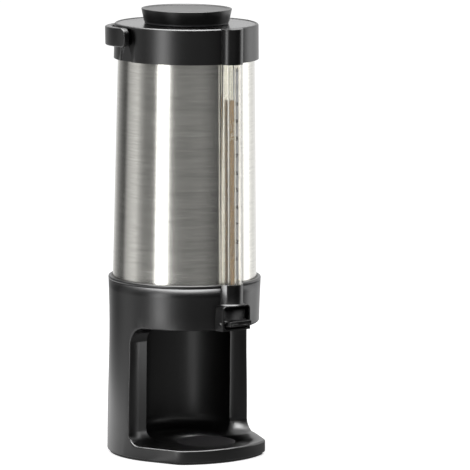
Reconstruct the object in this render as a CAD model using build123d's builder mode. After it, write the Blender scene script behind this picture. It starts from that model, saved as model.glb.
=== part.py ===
from build123d import *
from math import cos, hypot, radians, sin, sqrt
import os

# Insulated drink dispenser that stands on a round base with a cup bay in its front.
# Millimetres, +Z up. The vessel's axis is the Z axis and z = 0 is the surface it stands on.
# The tap side faces -Y, so a distance called front or reach is measured along -Y.

# Clearances and overruns
seat_gap = 0.3
running_gap = 0.05
cut_overrun = 2.0

# Stacked heights
foot_height = 3.0
platform_height = 14.5
bay_height = 142.0
housing_height = 30.0
neck_height = 24.5
shell_shown_height = 262.0
collar_height = 42.0
lid_gap = 2.0
lid_height = 15.5

skirt_height = housing_height + neck_height
platform_top = foot_height + platform_height
bay_top = platform_top + bay_height
housing_top = bay_top + housing_height
rim_z = bay_top + skirt_height
collar_z = rim_z + shell_shown_height
collar_top = collar_z + collar_height
lid_z = collar_top + lid_gap
lid_top = lid_z + lid_height

# Steel vessel
shell_rim_radius = 86.4
shell_taper = 4.6
shell_wall = 0.8
shell_in_collar = 16.0
shell_bottom_rounding = 3.0
shell_lip_width = 10.4
vessel_above_housing = 4.5
foam_thickness = 7.8
liner_wall = 0.7
liner_corner_radius = 10.0
liner_floor_gap = 3.2

shell_collar_radius = shell_rim_radius - shell_taper
shell_slope = shell_taper / shell_shown_height
shell_lip_radius = shell_rim_radius - shell_lip_width
liner_radius = shell_collar_radius - foam_thickness
vessel_sink = neck_height - vessel_above_housing
vessel_z = rim_z - vessel_sink
shell_top_z = collar_z + shell_in_collar
liner_z = vessel_z + shell_wall + liner_floor_gap
liner_floor_z = liner_z + liner_wall
flange_top_z = shell_top_z + liner_wall

# Stand
stand_over_shell = 3.6
stand_foot_flare = 1.7
stand_rim_flare = 1.7
waist_below_bay_top = 10.0
stand_wall = 3.2
rim_rounding = 1.6
rim_groove_drop = 3.4
rim_groove_width = 0.8
rim_groove_depth = 0.6
ledge_width = 5.0

stand_waist_radius = shell_rim_radius + stand_over_shell
stand_foot_radius = stand_waist_radius + stand_foot_flare
stand_rim_radius = stand_waist_radius + stand_rim_flare

# Platform that juts out under the cup bay
platform_overhang = 5.5
platform_front_radius = 120.0
platform_corner_radius = 25.0
platform_side_angle = 66.0
platform_deck = 5.0
stand_bottom_rounding = 1.0

platform_reach = stand_foot_radius + platform_overhang

# Cup bay: everything in front of the jambs, and a round cavity behind them
jamb_reach = 9.9
jamb_top_rounding = 20.0
jamb_bottom_rounding = 15.0
back_thickness = 24.9
cavity_top_rounding = 8.0
cavity_bottom_rounding = 17.0
ceiling = 3.2
bay_edge_rounding = 2.4
hollow_cap = 14.0

cavity_radius = stand_waist_radius - back_thickness
bay_cut_reach = platform_reach + cut_overrun

# Base plate, foot pad and the screws between them
plate_thickness = 2.4
pad_inset = 3.0
screw_boss_radius = 5.0
screw_circle_inset = 9.1
screw_angle = 42.0
screw_radius = 1.5
screw_head_radius = 3.0
screw_head_height = 1.6
screw_length = 9.0

screw_circle_radius = cavity_radius - screw_circle_inset

# Cup disc let into the platform
disc_radius = 35.3
disc_front_margin = 17.9
disc_thickness = 2.5
disc_slope_width = 11.0
disc_dish = 1.2
disc_edge = 0.8

disc_reach = platform_reach - disc_front_margin - disc_radius
disc_flat_radius = disc_radius - disc_slope_width

# Collar
collar_over_shell = 4.8
collar_taper = 0.6
collar_plate = 3.0
collar_edge_rounding = 2.3
mouth_radius = 46.5
mouth_wall = 3.0
mouth_depth = 20.0
press_ring_over_liner = 2.0
press_ring_wall = 5.0
gasket_thickness = 1.0
top_plate_recess = 2.4
top_plate_step = 0.6
top_plate_rim = 3.2

collar_foot_radius = shell_collar_radius + collar_over_shell
collar_top_radius = collar_foot_radius - collar_taper
press_ring_radius = liner_radius + press_ring_over_liner

# Handle and its pivots
handle_clearance = 2.3
handle_thickness = 8.2
handle_height = 22.4
handle_drop = 1.9
handle_rest_tilt = 2.3
handle_end_reach = 5.0
handle_end_rounding = 8.0
handle_edge_rounding = 1.6
pivot_behind_axis = 6.3
pivot_hub_radius = 8.5
pivot_pin_radius = 3.0
pivot_pin_in_collar = 4.6
pivot_pin_in_arm = 3.6
pivot_boss_radius = 7.0
pivot_boss_depth = 6.2
pocket_depth = 2.8
pocket_half_width = 11.6
pocket_corner = 8.0
pocket_below_top = 2.5
ledge_half_width = 10.0
ledge_under_handle = 5.1
handle_ledge = 3.2

handle_inner_radius = collar_foot_radius + handle_clearance
handle_outer_radius = handle_inner_radius + handle_thickness
pocket_floor = collar_foot_radius - pocket_depth
ledge_reach = handle_inner_radius + ledge_under_handle

# Lid, its plug and the chill core that hangs from it
lid_over_mouth = 8.0
lid_taper = 3.4
lid_wall = 2.5
lid_dish = 1.2
lid_rim_width = 3.0
lid_edge_rounding = 1.0
plug_clearance = 2.0
plug_depth = 18.0
plug_wall = 3.0
plug_shoulder_inset = 0.9
seal_height = 3.0
seal_drop = 9.0
core_radius = 20.0
core_wall = 2.4
core_floor_gap = 51.3
core_neck_inset = 4.5
core_neck_height = 9.0
core_nut_flange = 5.5
core_nut_height = 4.5
core_end_rounding = 9.0

lid_top_radius = mouth_radius + lid_over_mouth
lid_foot_radius = lid_top_radius - lid_taper
plug_radius = mouth_radius - plug_clearance
plug_shoulder = lid_foot_radius - plug_shoulder_inset
plug_bottom_z = collar_top - plug_depth
core_length = plug_bottom_z - liner_floor_z - core_floor_gap
core_neck_radius = core_radius - core_neck_inset
core_nut_radius = core_neck_radius + core_nut_flange

# Sight gauge on the front of the shell
gauge_tube_radius = 4.7
gauge_tube_wall = 1.5
gauge_tube_gap = 1.1
gauge_cover_half_width = 12.2
gauge_cover_wall = 1.4
gauge_cover_stand_off = 4.0
gauge_scale_width = 5.6
gauge_scale_thickness = 0.8
gauge_scale_beside_tube = 3.0
gauge_scale_rise = 0.6
gauge_scale_turn = 45.0
gauge_scale_margin = 6.0
gauge_fitting_side = 2.1
gauge_fitting_wall = 2.2
gauge_fitting_margin = 2.0
gauge_socket_depth = 4.6
gauge_ring_width = 0.8
gauge_ring_height = 2.2
gauge_port_radius = 3.4
gauge_port_wall = 1.4
gauge_port_rise = 5.3
gauge_tube_in_head = 12.0
gauge_plug_depth = 8.0
gauge_plug_head = 3.0
gauge_vent_radius = 1.0
notch_gap = 0.4

gauge_tube_bore = gauge_tube_radius - gauge_tube_wall
gauge_tube_stand_off = gauge_tube_radius + gauge_tube_gap
gauge_scale_side = gauge_tube_radius + gauge_scale_beside_tube
gauge_scale_stand_off = gauge_cover_stand_off + gauge_scale_rise
gauge_fitting_half_width = gauge_tube_radius + gauge_fitting_side
gauge_fitting_depth = gauge_tube_stand_off + gauge_tube_radius + gauge_fitting_wall - seat_gap
gauge_port_bore = gauge_port_radius - gauge_port_wall
notch_half_width = gauge_fitting_half_width + notch_gap

# Nose mouldings that hold the gauge at the collar and above the tap
head_over_cover = 2.4
head_nose_inset = 1.6
neck_over_cover = 4.1
neck_nose_inset = 3.4
neck_flare = 2.0
neck_flare_taper = 45.0
nose_wall = 2.2
nose_gap = 0.1

head_nose_radius = gauge_cover_half_width + head_over_cover
head_nose_reach = collar_foot_radius - head_nose_inset
neck_nose_radius = gauge_cover_half_width + neck_over_cover
neck_nose_reach = stand_waist_radius - neck_nose_inset

# Tap housing
housing_projection = 11.2
housing_beside_neck = 4.4
housing_flank_taper = 1.3
housing_corner_rounding = 5.0
housing_side = 2.0
housing_top_lip = 2.0
housing_bottom_lip = 2.2
housing_mouth_rounding = 4.3
housing_edge_rounding = 0.8
window_inset = 1.7

housing_reach = stand_waist_radius + housing_projection
housing_front_half_width = neck_nose_radius + housing_beside_neck
housing_back_half_width = housing_front_half_width + housing_flank_taper
window_half_width = housing_front_half_width - window_inset

# Lever
lever_side_gap = 2.4
lever_projection = 8.8
lever_thickness = 6.3
lever_rise = 6.1
lever_plate_drop = 4.4
lever_plate_thickness = 3.6
lever_top_gap = 3.3
lever_plate_rounding = 2.5
lever_corner_rounding = 1.5
lever_edge_rounding = 0.8
lever_groove_height = 3.4
lever_groove_depth = 2.0
lever_groove_margin = 1.7
lever_pin_drop = 3.7
lever_pin_radius = 1.5
lever_pin_overhang = 0.5
ear_inner = 4.2
ear_thickness = 2.8
ear_length = 6.6
ear_foot = 5.5
ear_top = 4.0
ear_slot_gap = 0.6
ear_slot_drop = 3.3

lever_half_width = housing_front_half_width - housing_side - lever_side_gap
lever_reach = housing_reach + lever_projection
lever_plate_reach = housing_reach - lever_plate_drop
lever_plate_height = housing_height - housing_top_lip - lever_rise - lever_top_gap
lever_pin_reach = housing_reach - lever_pin_drop
plate_back = lever_plate_reach - lever_plate_thickness
ear_outer = ear_inner + ear_thickness
ear_back_reach = plate_back - ear_length

# Valve
valve_below_housing_top = 10.5
valve_body_radius = 9.0
valve_body_wall = 2.5
valve_chamber_length = 11.5
valve_inlet_length = 29.5
valve_back_wall = 3.5
valve_seat_thickness = 2.0
valve_seat_width = 2.9
valve_seat_gap = 0.1
gland_thickness = 2.4
rod_radius = 2.2
rod_bar_behind_plate = 3.2
rod_bar_radius = 1.6
rod_bar_side_gap = 0.2
rod_tip = 0.4
rod_front_length = 7.0
rod_flange_inset = 1.0
rod_flange_thickness = 1.0
rod_pip_inset = 0.7
rod_pip_length = 1.4
valve_disc_inset = 0.9
valve_disc_thickness = 2.6
spring_inset = 0.7
spring_wire_radius = 0.45
spring_turns = 4
spring_end_gap = 0.1
inlet_behind_seat = 19.5
inlet_socket_wall = 3.0
inlet_socket_below_vessel = 4.3
saddle_half_width = 13.0
saddle_length = 14.0
saddle_behind_seat = 12.5
saddle_rise = 9.0
tap_screw_margin = 3.5
tap_screw_radius = 1.5
tap_screw_head_radius = 2.8
tap_screw_head_height = 1.5
tap_screw_length = 8.5

valve_rise = housing_height - valve_below_housing_top
rod_bar_reach = plate_back - rod_bar_behind_plate
rod_bar_half_length = ear_outer - rod_bar_side_gap
valve_front_reach = rod_bar_reach - rod_front_length
valve_seat_reach = valve_front_reach - valve_chamber_length
valve_back_reach = valve_seat_reach - valve_inlet_length
valve_chamber_radius = valve_body_radius - valve_body_wall
valve_seat_bore = valve_chamber_radius - valve_seat_width
valve_disc_radius = valve_chamber_radius - valve_disc_inset
rod_flange_radius = valve_disc_radius - rod_flange_inset
rod_pip_radius = rod_radius - rod_pip_inset
spring_radius = rod_flange_radius - spring_inset
inlet_reach = valve_seat_reach - inlet_behind_seat
saddle_reach = valve_seat_reach - saddle_behind_seat
tap_screw_spread = saddle_half_width - tap_screw_margin

# Spout and vessel outlet
spout_before_seat = 4.5
spout_radius = 5.5
spout_wall = 1.9
spout_boss_wall = 1.4
spout_socket_depth = 5.0
spout_below_ceiling = 2.3
spout_hole_gap = 0.7
outlet_radius = 5.5
outlet_wall = 1.7
outlet_flange_width = 4.5
outlet_flange_thickness = 2.0
outlet_gasket_thickness = 1.0
outlet_nut_width = 3.5
outlet_nut_height = 3.6
outlet_in_socket = 6.0

spout_reach = valve_seat_reach + spout_before_seat
spout_bore = spout_radius - spout_wall
spout_boss_radius = spout_radius + spout_boss_wall
outlet_bore = outlet_radius - outlet_wall
outlet_flange_radius = outlet_radius + outlet_flange_width
outlet_nut_radius = outlet_radius + outlet_nut_width
inlet_socket_radius = outlet_radius + inlet_socket_wall

# Heights that follow from the stack
ceiling_top = bay_top + ceiling
pivot_z = collar_top - handle_drop - handle_height / 2
lever_bottom_z = bay_top + lever_rise
lever_pin_z = lever_bottom_z + lever_thickness / 2
valve_z = bay_top + valve_rise
socket_top_z = vessel_z - inlet_socket_below_vessel
gasket_z = flange_top_z + gasket_thickness
port_z = liner_floor_z + gauge_port_rise
fitting_z = port_z - gauge_port_radius - gauge_fitting_margin
fitting_top_z = rim_z - nose_wall - seat_gap
socket_floor_z = fitting_top_z - gauge_socket_depth
tube_top_z = collar_z + gauge_tube_in_head
handle_bottom_z = pivot_z - handle_height / 2
ledge_drop = (ledge_reach - pivot_behind_axis) * sin(radians(handle_rest_tilt))
ledge_top_z = pivot_z - handle_height / 2 - ledge_drop - seat_gap
screw_places = [
    (screw_circle_radius * sin(radians(a)), screw_circle_radius * cos(radians(a)))
    for a in (screw_angle, 180 - screw_angle, 180 + screw_angle, -screw_angle)
]

os.makedirs("parts", exist_ok=True)


def shell_radius(z):
    """Outer radius of the tapered steel shell at a height."""
    return shell_rim_radius - (z - rim_z) * shell_slope


def stand_plan(inset):
    """Plan of the stand: the round body with the platform that juts out at the front."""
    side = radians(platform_side_angle)
    leave = Vector(stand_foot_radius * sin(side), -stand_foot_radius * cos(side))
    way = Vector(-cos(side), -sin(side))
    centre = Vector(0, platform_front_radius - platform_reach)
    across = leave - centre
    along = across.dot(way)
    run = -along + sqrt(along * along - across.dot(across) + platform_front_radius**2)
    corner = leave + way * run
    with BuildSketch() as plan:
        with BuildLine():
            Line((leave.X, leave.Y), (corner.X, corner.Y))
            ThreePointArc((corner.X, corner.Y), (0, -platform_reach), (-corner.X, corner.Y))
            Line((-corner.X, corner.Y), (-leave.X, leave.Y))
            Line((-leave.X, leave.Y), (leave.X, leave.Y))
        make_face()
        fillet(plan.vertices().group_by(Axis.Y)[0], platform_corner_radius)
        Circle(stand_foot_radius)
        if inset > 0:
            offset(amount=-inset)
    return plan.sketch


def stand_profile(grow):
    """Half section of the stand's round outside: straight at the foot, then waisted below the rim."""
    foot = (stand_foot_radius + grow, platform_top + jamb_bottom_rounding)
    waist = (stand_waist_radius + grow, bay_top - waist_below_bay_top)
    halfway = ((foot[0] + waist[0]) / 2, (foot[1] + waist[1]) / 2)
    rim = (stand_rim_radius + grow, rim_z)
    with BuildSketch(Plane.XZ) as section:
        with BuildLine():
            Polyline((0, foot_height), (stand_foot_radius + grow, foot_height), foot)
            TangentArc(foot, halfway, tangent=(0, 1))
            TangentArc(waist, halfway, tangent=(0, -1))
            TangentArc(waist, rim, tangent=(0, 1))
            Line(rim, (0, rim_z))
            Line((0, rim_z), (0, foot_height))
        make_face()
    return section.sketch


def ring_section(inner, outer, bottom, top):
    """Rectangle in the XZ plane that revolves into a ring."""
    with BuildSketch(Plane.XZ) as section:
        with Locations(((inner + outer) / 2, (bottom + top) / 2)):
            Rectangle(outer - inner, top - bottom)
    return section.sketch


def ring(inner, outer, bottom, top, mode=Mode.ADD):
    """Ring about the vessel's axis, added to or cut from the part being built."""
    revolve(ring_section(inner, outer, bottom, top), axis=Axis.Z, mode=mode)


def nose_plan(radius, reach, back):
    """Plan of a half-round nose whose flanks run straight back towards the body."""
    with BuildSketch() as plan:
        with Locations((0, -reach)):
            Circle(radius)
        with Locations((0, -(reach + back) / 2)):
            Rectangle(2 * radius, reach - back)
    return plan.sketch


def disc_plan(radius, reach):
    """Plan of a disc centred on the front line."""
    with BuildSketch() as plan:
        with Locations((0, -reach)):
            Circle(radius)
    return plan.sketch


def scale_plan():
    """Plan of the scale strip, turned to face past the tube."""
    with BuildSketch() as plan:
        with Locations((gauge_scale_side, -shell_rim_radius - gauge_scale_stand_off)):
            Rectangle(gauge_scale_width, gauge_scale_thickness, rotation=-gauge_scale_turn)
    return plan.sketch


def slanted(plan, bottom, top, mode=Mode.ADD):
    """Stand a plan drawn at the rim's height along the shell's slope between two heights."""
    height = top - bottom
    lean = shell_slope * height
    shift = shell_slope * (bottom - rim_z)
    placed = Pos(0, shift, bottom) * plan
    extrude(placed, amount=hypot(height, lean), dir=(0, lean, height), mode=mode)


# Stand: one moulding with the cup bay, the skirt round the vessel and the platform
hollow_radius = stand_waist_radius - stand_wall
skirt_bore = shell_radius(vessel_z) + seat_gap
chamber_radius = skirt_bore - ledge_width
with BuildPart() as stand:
    revolve(stand_profile(0), axis=Axis.Z)
    fillet(stand.edges().group_by(Axis.Z)[-1], rim_rounding)
    with BuildSketch(Plane.XY.offset(foot_height)):
        add(stand_plan(0))
    extrude(amount=platform_height)
    fillet(stand.edges().group_by(Axis.Z)[0], stand_bottom_rounding)
    with BuildSketch(Plane.YZ) as bay_side:
        with BuildLine():
            Polyline(
                (-jamb_reach, platform_top),
                (-jamb_reach, bay_top),
                (-bay_cut_reach, bay_top),
                (-bay_cut_reach, platform_top),
                close=True,
            )
        make_face()
        fillet(bay_side.vertices().group_by(Axis.X)[-1].sort_by(Axis.Y)[-1], jamb_top_rounding)
        fillet(bay_side.vertices().group_by(Axis.X)[-1].sort_by(Axis.Y)[0], jamb_bottom_rounding)
    extrude(amount=bay_cut_reach, both=True, mode=Mode.SUBTRACT)
    bay_edges = stand.edges().filter_by_position(Axis.Z, platform_top - seat_gap, bay_top + seat_gap)
    bay_edges = bay_edges.filter_by_position(Axis.Y, -bay_cut_reach, -jamb_reach + seat_gap)
    bay_edges = bay_edges.filter_by(Axis.X, reverse=True).sort_by(Edge.length, reverse=True)
    fillet(bay_edges, bay_edge_rounding)
    with BuildSketch(Plane.XZ) as cavity:
        with Locations((cavity_radius / 2, platform_top + bay_height / 2)):
            Rectangle(cavity_radius, bay_height)
        fillet(cavity.vertices().group_by(Axis.X)[-1].sort_by(Axis.Y)[-1], cavity_top_rounding)
        fillet(cavity.vertices().group_by(Axis.X)[-1].sort_by(Axis.Y)[0], cavity_bottom_rounding)
    revolve(axis=Axis.Z, mode=Mode.SUBTRACT)
    ring(0, chamber_radius, ceiling_top, vessel_z, Mode.SUBTRACT)
    ring(0, skirt_bore, vessel_z, rim_z + cut_overrun, Mode.SUBTRACT)
    groove_top = rim_z - rim_groove_drop
    groove_inside = stand_rim_radius - rim_groove_depth
    groove_outside = stand_rim_radius + cut_overrun
    ring(groove_inside, groove_outside, groove_top - rim_groove_width, groove_top, Mode.SUBTRACT)
    with BuildSketch(Plane.XY.offset(foot_height)):
        add(stand_plan(stand_wall))
    extrude(amount=platform_height - platform_deck, mode=Mode.SUBTRACT)
    with BuildSketch(Plane.XY.offset(platform_top - platform_deck)):
        Circle(hollow_radius)
        Circle(cavity_radius + stand_wall, mode=Mode.SUBTRACT)
        with Locations((0, -stand_foot_radius - jamb_reach + stand_wall)):
            Rectangle(2 * stand_foot_radius, 2 * stand_foot_radius, mode=Mode.SUBTRACT)
    extrude(amount=bay_top - hollow_cap - platform_top + platform_deck, mode=Mode.SUBTRACT)
    with BuildSketch(Plane.XY.offset(foot_height + plate_thickness)):
        with Locations(*screw_places):
            Circle(screw_boss_radius)
    extrude(amount=platform_height - plate_thickness - platform_deck)
    with BuildSketch(Plane.XY.offset(foot_height)):
        with Locations(*screw_places):
            Circle(screw_radius)
    extrude(amount=screw_length + seat_gap, mode=Mode.SUBTRACT)
    with BuildSketch(Plane.XY.offset(platform_top - disc_thickness)):
        with Locations((0, -disc_reach)):
            Circle(disc_radius)
    extrude(amount=disc_thickness, mode=Mode.SUBTRACT)
    window_back = sqrt(chamber_radius**2 - window_half_width**2) - cut_overrun
    window_top = valve_z + valve_body_radius + seat_gap
    with BuildSketch(Plane.XZ.offset(window_back)):
        with Locations((0, (ceiling_top + window_top) / 2)):
            Rectangle(2 * window_half_width, window_top - ceiling_top)
    extrude(amount=housing_reach - window_back, mode=Mode.SUBTRACT)
    with BuildSketch(Plane.XZ.offset(skirt_bore - cut_overrun)):
        with Locations((0, (fitting_z + rim_z + cut_overrun) / 2)):
            Rectangle(2 * notch_half_width, rim_z + cut_overrun - fitting_z)
    extrude(amount=housing_reach - skirt_bore, mode=Mode.SUBTRACT)
    with BuildSketch(Plane.XY.offset(bay_top)):
        with Locations((0, -spout_reach)):
            Circle(spout_radius + spout_hole_gap)
        with Locations((-tap_screw_spread, -saddle_reach), (tap_screw_spread, -saddle_reach)):
            Circle(tap_screw_radius + running_gap)
    extrude(amount=ceiling, mode=Mode.SUBTRACT)
    with BuildSketch(Plane.XY.offset(bay_top)):
        with Locations((-tap_screw_spread, -saddle_reach), (tap_screw_spread, -saddle_reach)):
            Circle(tap_screw_head_radius + running_gap)
    extrude(amount=tap_screw_head_height, mode=Mode.SUBTRACT)
stand.part.label = "stand"
export_step(stand.part, "parts/stand.step")

# Base plate, foot pad and screws
with BuildPart() as base_plate:
    with BuildSketch(Plane.XY.offset(foot_height)):
        add(stand_plan(stand_wall + seat_gap))
    extrude(amount=plate_thickness)
    with BuildSketch(Plane.XY.offset(foot_height)):
        with Locations(*screw_places):
            Circle(screw_radius + seat_gap)
    extrude(amount=plate_thickness, mode=Mode.SUBTRACT)
    with BuildSketch(Plane.XY.offset(foot_height)):
        with Locations(*screw_places):
            Circle(screw_head_radius + running_gap)
    extrude(amount=screw_head_height, mode=Mode.SUBTRACT)
base_plate.part.label = "base_plate"
export_step(base_plate.part, "parts/base_plate.step")

with BuildPart() as base_screws:
    with BuildSketch(Plane.XY.offset(foot_height)):
        with Locations(*screw_places):
            Circle(screw_head_radius)
    extrude(amount=screw_head_height)
    with BuildSketch(Plane.XY.offset(foot_height)):
        with Locations(*screw_places):
            Circle(screw_radius - running_gap)
    extrude(amount=screw_length)
base_screws.part.label = "base_screws"
export_step(base_screws.part, "parts/base_screws.step")

with BuildPart() as foot_pad:
    with BuildSketch():
        add(stand_plan(pad_inset))
    extrude(amount=foot_height)
foot_pad.part.label = "foot_pad"
export_step(foot_pad.part, "parts/foot_pad.step")

# Cup disc: a shallow dish with a flat middle, let into the platform
disc_bottom = platform_top - disc_thickness
with BuildPart() as cup_disc:
    with BuildSketch(Plane.XZ.offset(disc_reach)):
        with BuildLine():
            Polyline(
                (0, disc_bottom),
                (disc_radius - seat_gap, disc_bottom),
                (disc_radius - seat_gap, platform_top),
                (disc_radius - seat_gap - disc_edge, platform_top),
                (disc_flat_radius, platform_top - disc_dish),
                (0, platform_top - disc_dish),
                close=True,
            )
        make_face()
    revolve(axis=Axis((0, -disc_reach, 0), (0, 0, 1)))
cup_disc.part.label = "cup_disc"
export_step(cup_disc.part, "parts/cup_disc.step")

# Outer shell of the vessel: a tapered tube whose bottom edge is rolled inwards
shell_top_radius = shell_radius(shell_top_z)
shell_foot_radius = shell_radius(vessel_z)
with BuildPart() as outer_shell:
    with BuildSketch(Plane.XZ) as shell_side:
        with BuildLine():
            Polyline(
                (shell_lip_radius, vessel_z),
                (shell_foot_radius, vessel_z),
                (shell_top_radius, shell_top_z),
                (shell_top_radius - shell_wall, shell_top_z),
                (shell_foot_radius - shell_wall, vessel_z + shell_wall),
                (shell_lip_radius, vessel_z + shell_wall),
                close=True,
            )
        make_face()
        outside = shell_side.vertices().sort_by_distance((shell_foot_radius, vessel_z))[0]
        fillet(outside, shell_bottom_rounding)
        inner_corner = (shell_foot_radius - shell_wall, vessel_z + shell_wall)
        inside = shell_side.vertices().sort_by_distance(inner_corner)[0]
        fillet(inside, shell_bottom_rounding - shell_wall)
    revolve(axis=Axis.Z)
    with BuildSketch(Plane.XZ.offset(shell_lip_radius)):
        with Locations((0, port_z)):
            Circle(gauge_port_radius + running_gap)
    extrude(amount=shell_foot_radius - shell_lip_radius + cut_overrun, mode=Mode.SUBTRACT)
outer_shell.part.label = "outer_shell"
export_step(outer_shell.part, "parts/outer_shell.step")

# Bottom disc of the outer shell, seated on the rolled edge
with BuildPart() as shell_floor:
    floor_radius = shell_foot_radius - shell_bottom_rounding - seat_gap
    with BuildSketch(Plane.XY.offset(vessel_z + shell_wall)):
        Circle(floor_radius)
        with Locations((0, -inlet_reach)):
            Circle(outlet_radius + running_gap, mode=Mode.SUBTRACT)
    extrude(amount=shell_wall)
shell_floor.part.label = "shell_floor"
export_step(shell_floor.part, "parts/shell_floor.step")

# Inner liner: the cup that holds the drink, flanged over the shell's top edge
flange_radius = shell_top_radius - shell_wall / 2
with BuildPart() as inner_liner:
    with BuildSketch(Plane.XZ) as liner_side:
        with BuildLine():
            Polyline(
                (0, liner_z),
                (liner_radius, liner_z),
                (liner_radius, shell_top_z),
                (flange_radius, shell_top_z),
                (flange_radius, flange_top_z),
                (liner_radius - liner_wall, flange_top_z),
                (liner_radius - liner_wall, liner_floor_z),
                (0, liner_floor_z),
                close=True,
            )
        make_face()
        outside = liner_side.vertices().sort_by_distance((liner_radius, liner_z))[0]
        fillet(outside, liner_corner_radius)
        inside = liner_side.vertices().sort_by_distance((liner_radius - liner_wall, liner_floor_z))[0]
        fillet(inside, liner_corner_radius - liner_wall)
    revolve(axis=Axis.Z)
    with BuildSketch(Plane.XY.offset(liner_z)):
        with Locations((0, -inlet_reach)):
            Circle(outlet_radius + running_gap)
    extrude(amount=liner_wall, mode=Mode.SUBTRACT)
    with BuildSketch(Plane.XZ.offset(liner_radius - liner_corner_radius)):
        with Locations((0, port_z)):
            Circle(gauge_port_radius + running_gap)
    extrude(amount=liner_corner_radius + cut_overrun, mode=Mode.SUBTRACT)
inner_liner.part.label = "inner_liner"
export_step(inner_liner.part, "parts/inner_liner.step")

# Foam jacket that fills the space between liner and shell
jacket_bottom = vessel_z + 2 * shell_wall
with BuildPart() as foam_jacket:
    with BuildSketch(Plane.XZ) as jacket_side:
        with BuildLine():
            Polyline(
                (outlet_flange_radius + inlet_reach, jacket_bottom),
                (shell_radius(jacket_bottom) - shell_wall - shell_bottom_rounding, jacket_bottom),
                (shell_radius(jacket_bottom) - shell_wall - seat_gap, jacket_bottom + shell_bottom_rounding),
                (shell_top_radius - shell_wall - seat_gap, shell_top_z),
                (liner_radius + seat_gap, shell_top_z),
                (liner_radius + seat_gap, liner_z - seat_gap),
                (outlet_flange_radius + inlet_reach, liner_z - seat_gap),
                close=True,
            )
        make_face()
        inside = jacket_side.vertices().sort_by_distance((liner_radius + seat_gap, liner_z - seat_gap))[0]
        fillet(inside, liner_corner_radius + seat_gap)
    revolve(axis=Axis.Z)
    with BuildSketch(Plane.XZ.offset(liner_radius - liner_corner_radius)):
        with Locations((0, port_z)):
            Circle(gauge_port_radius + running_gap)
    extrude(amount=shell_rim_radius - liner_radius + liner_corner_radius, mode=Mode.SUBTRACT)
foam_jacket.part.label = "foam_jacket"
export_step(foam_jacket.part, "parts/foam_jacket.step")

# Outlet fitting through the vessel's floor, its gasket and its nut
with BuildPart() as outlet_fitting:
    with BuildSketch(Plane.XY.offset(socket_top_z - outlet_in_socket)):
        with Locations((0, -inlet_reach)):
            Circle(outlet_radius)
            Circle(outlet_bore, mode=Mode.SUBTRACT)
    extrude(amount=liner_floor_z + outlet_gasket_thickness - socket_top_z + outlet_in_socket)
    with BuildSketch(Plane.XY.offset(liner_floor_z + outlet_gasket_thickness)):
        with Locations((0, -inlet_reach)):
            Circle(outlet_flange_radius)
            Circle(outlet_bore, mode=Mode.SUBTRACT)
    extrude(amount=outlet_flange_thickness)
outlet_fitting.part.label = "outlet_fitting"
export_step(outlet_fitting.part, "parts/outlet_fitting.step")

with BuildPart() as outlet_gasket:
    with BuildSketch(Plane.XY.offset(liner_floor_z)):
        with Locations((0, -inlet_reach)):
            Circle(outlet_flange_radius)
            Circle(outlet_radius + running_gap, mode=Mode.SUBTRACT)
    extrude(amount=outlet_gasket_thickness)
outlet_gasket.part.label = "outlet_gasket"
export_step(outlet_gasket.part, "parts/outlet_gasket.step")

with BuildPart() as outlet_nut:
    with BuildSketch(Plane.XY.offset(vessel_z + shell_wall - outlet_nut_height)):
        with Locations((0, -inlet_reach)):
            RegularPolygon(outlet_nut_radius, 6)
            Circle(outlet_radius + running_gap, mode=Mode.SUBTRACT)
    extrude(amount=outlet_nut_height)
outlet_nut.part.label = "outlet_nut"
export_step(outlet_nut.part, "parts/outlet_nut.step")

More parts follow.
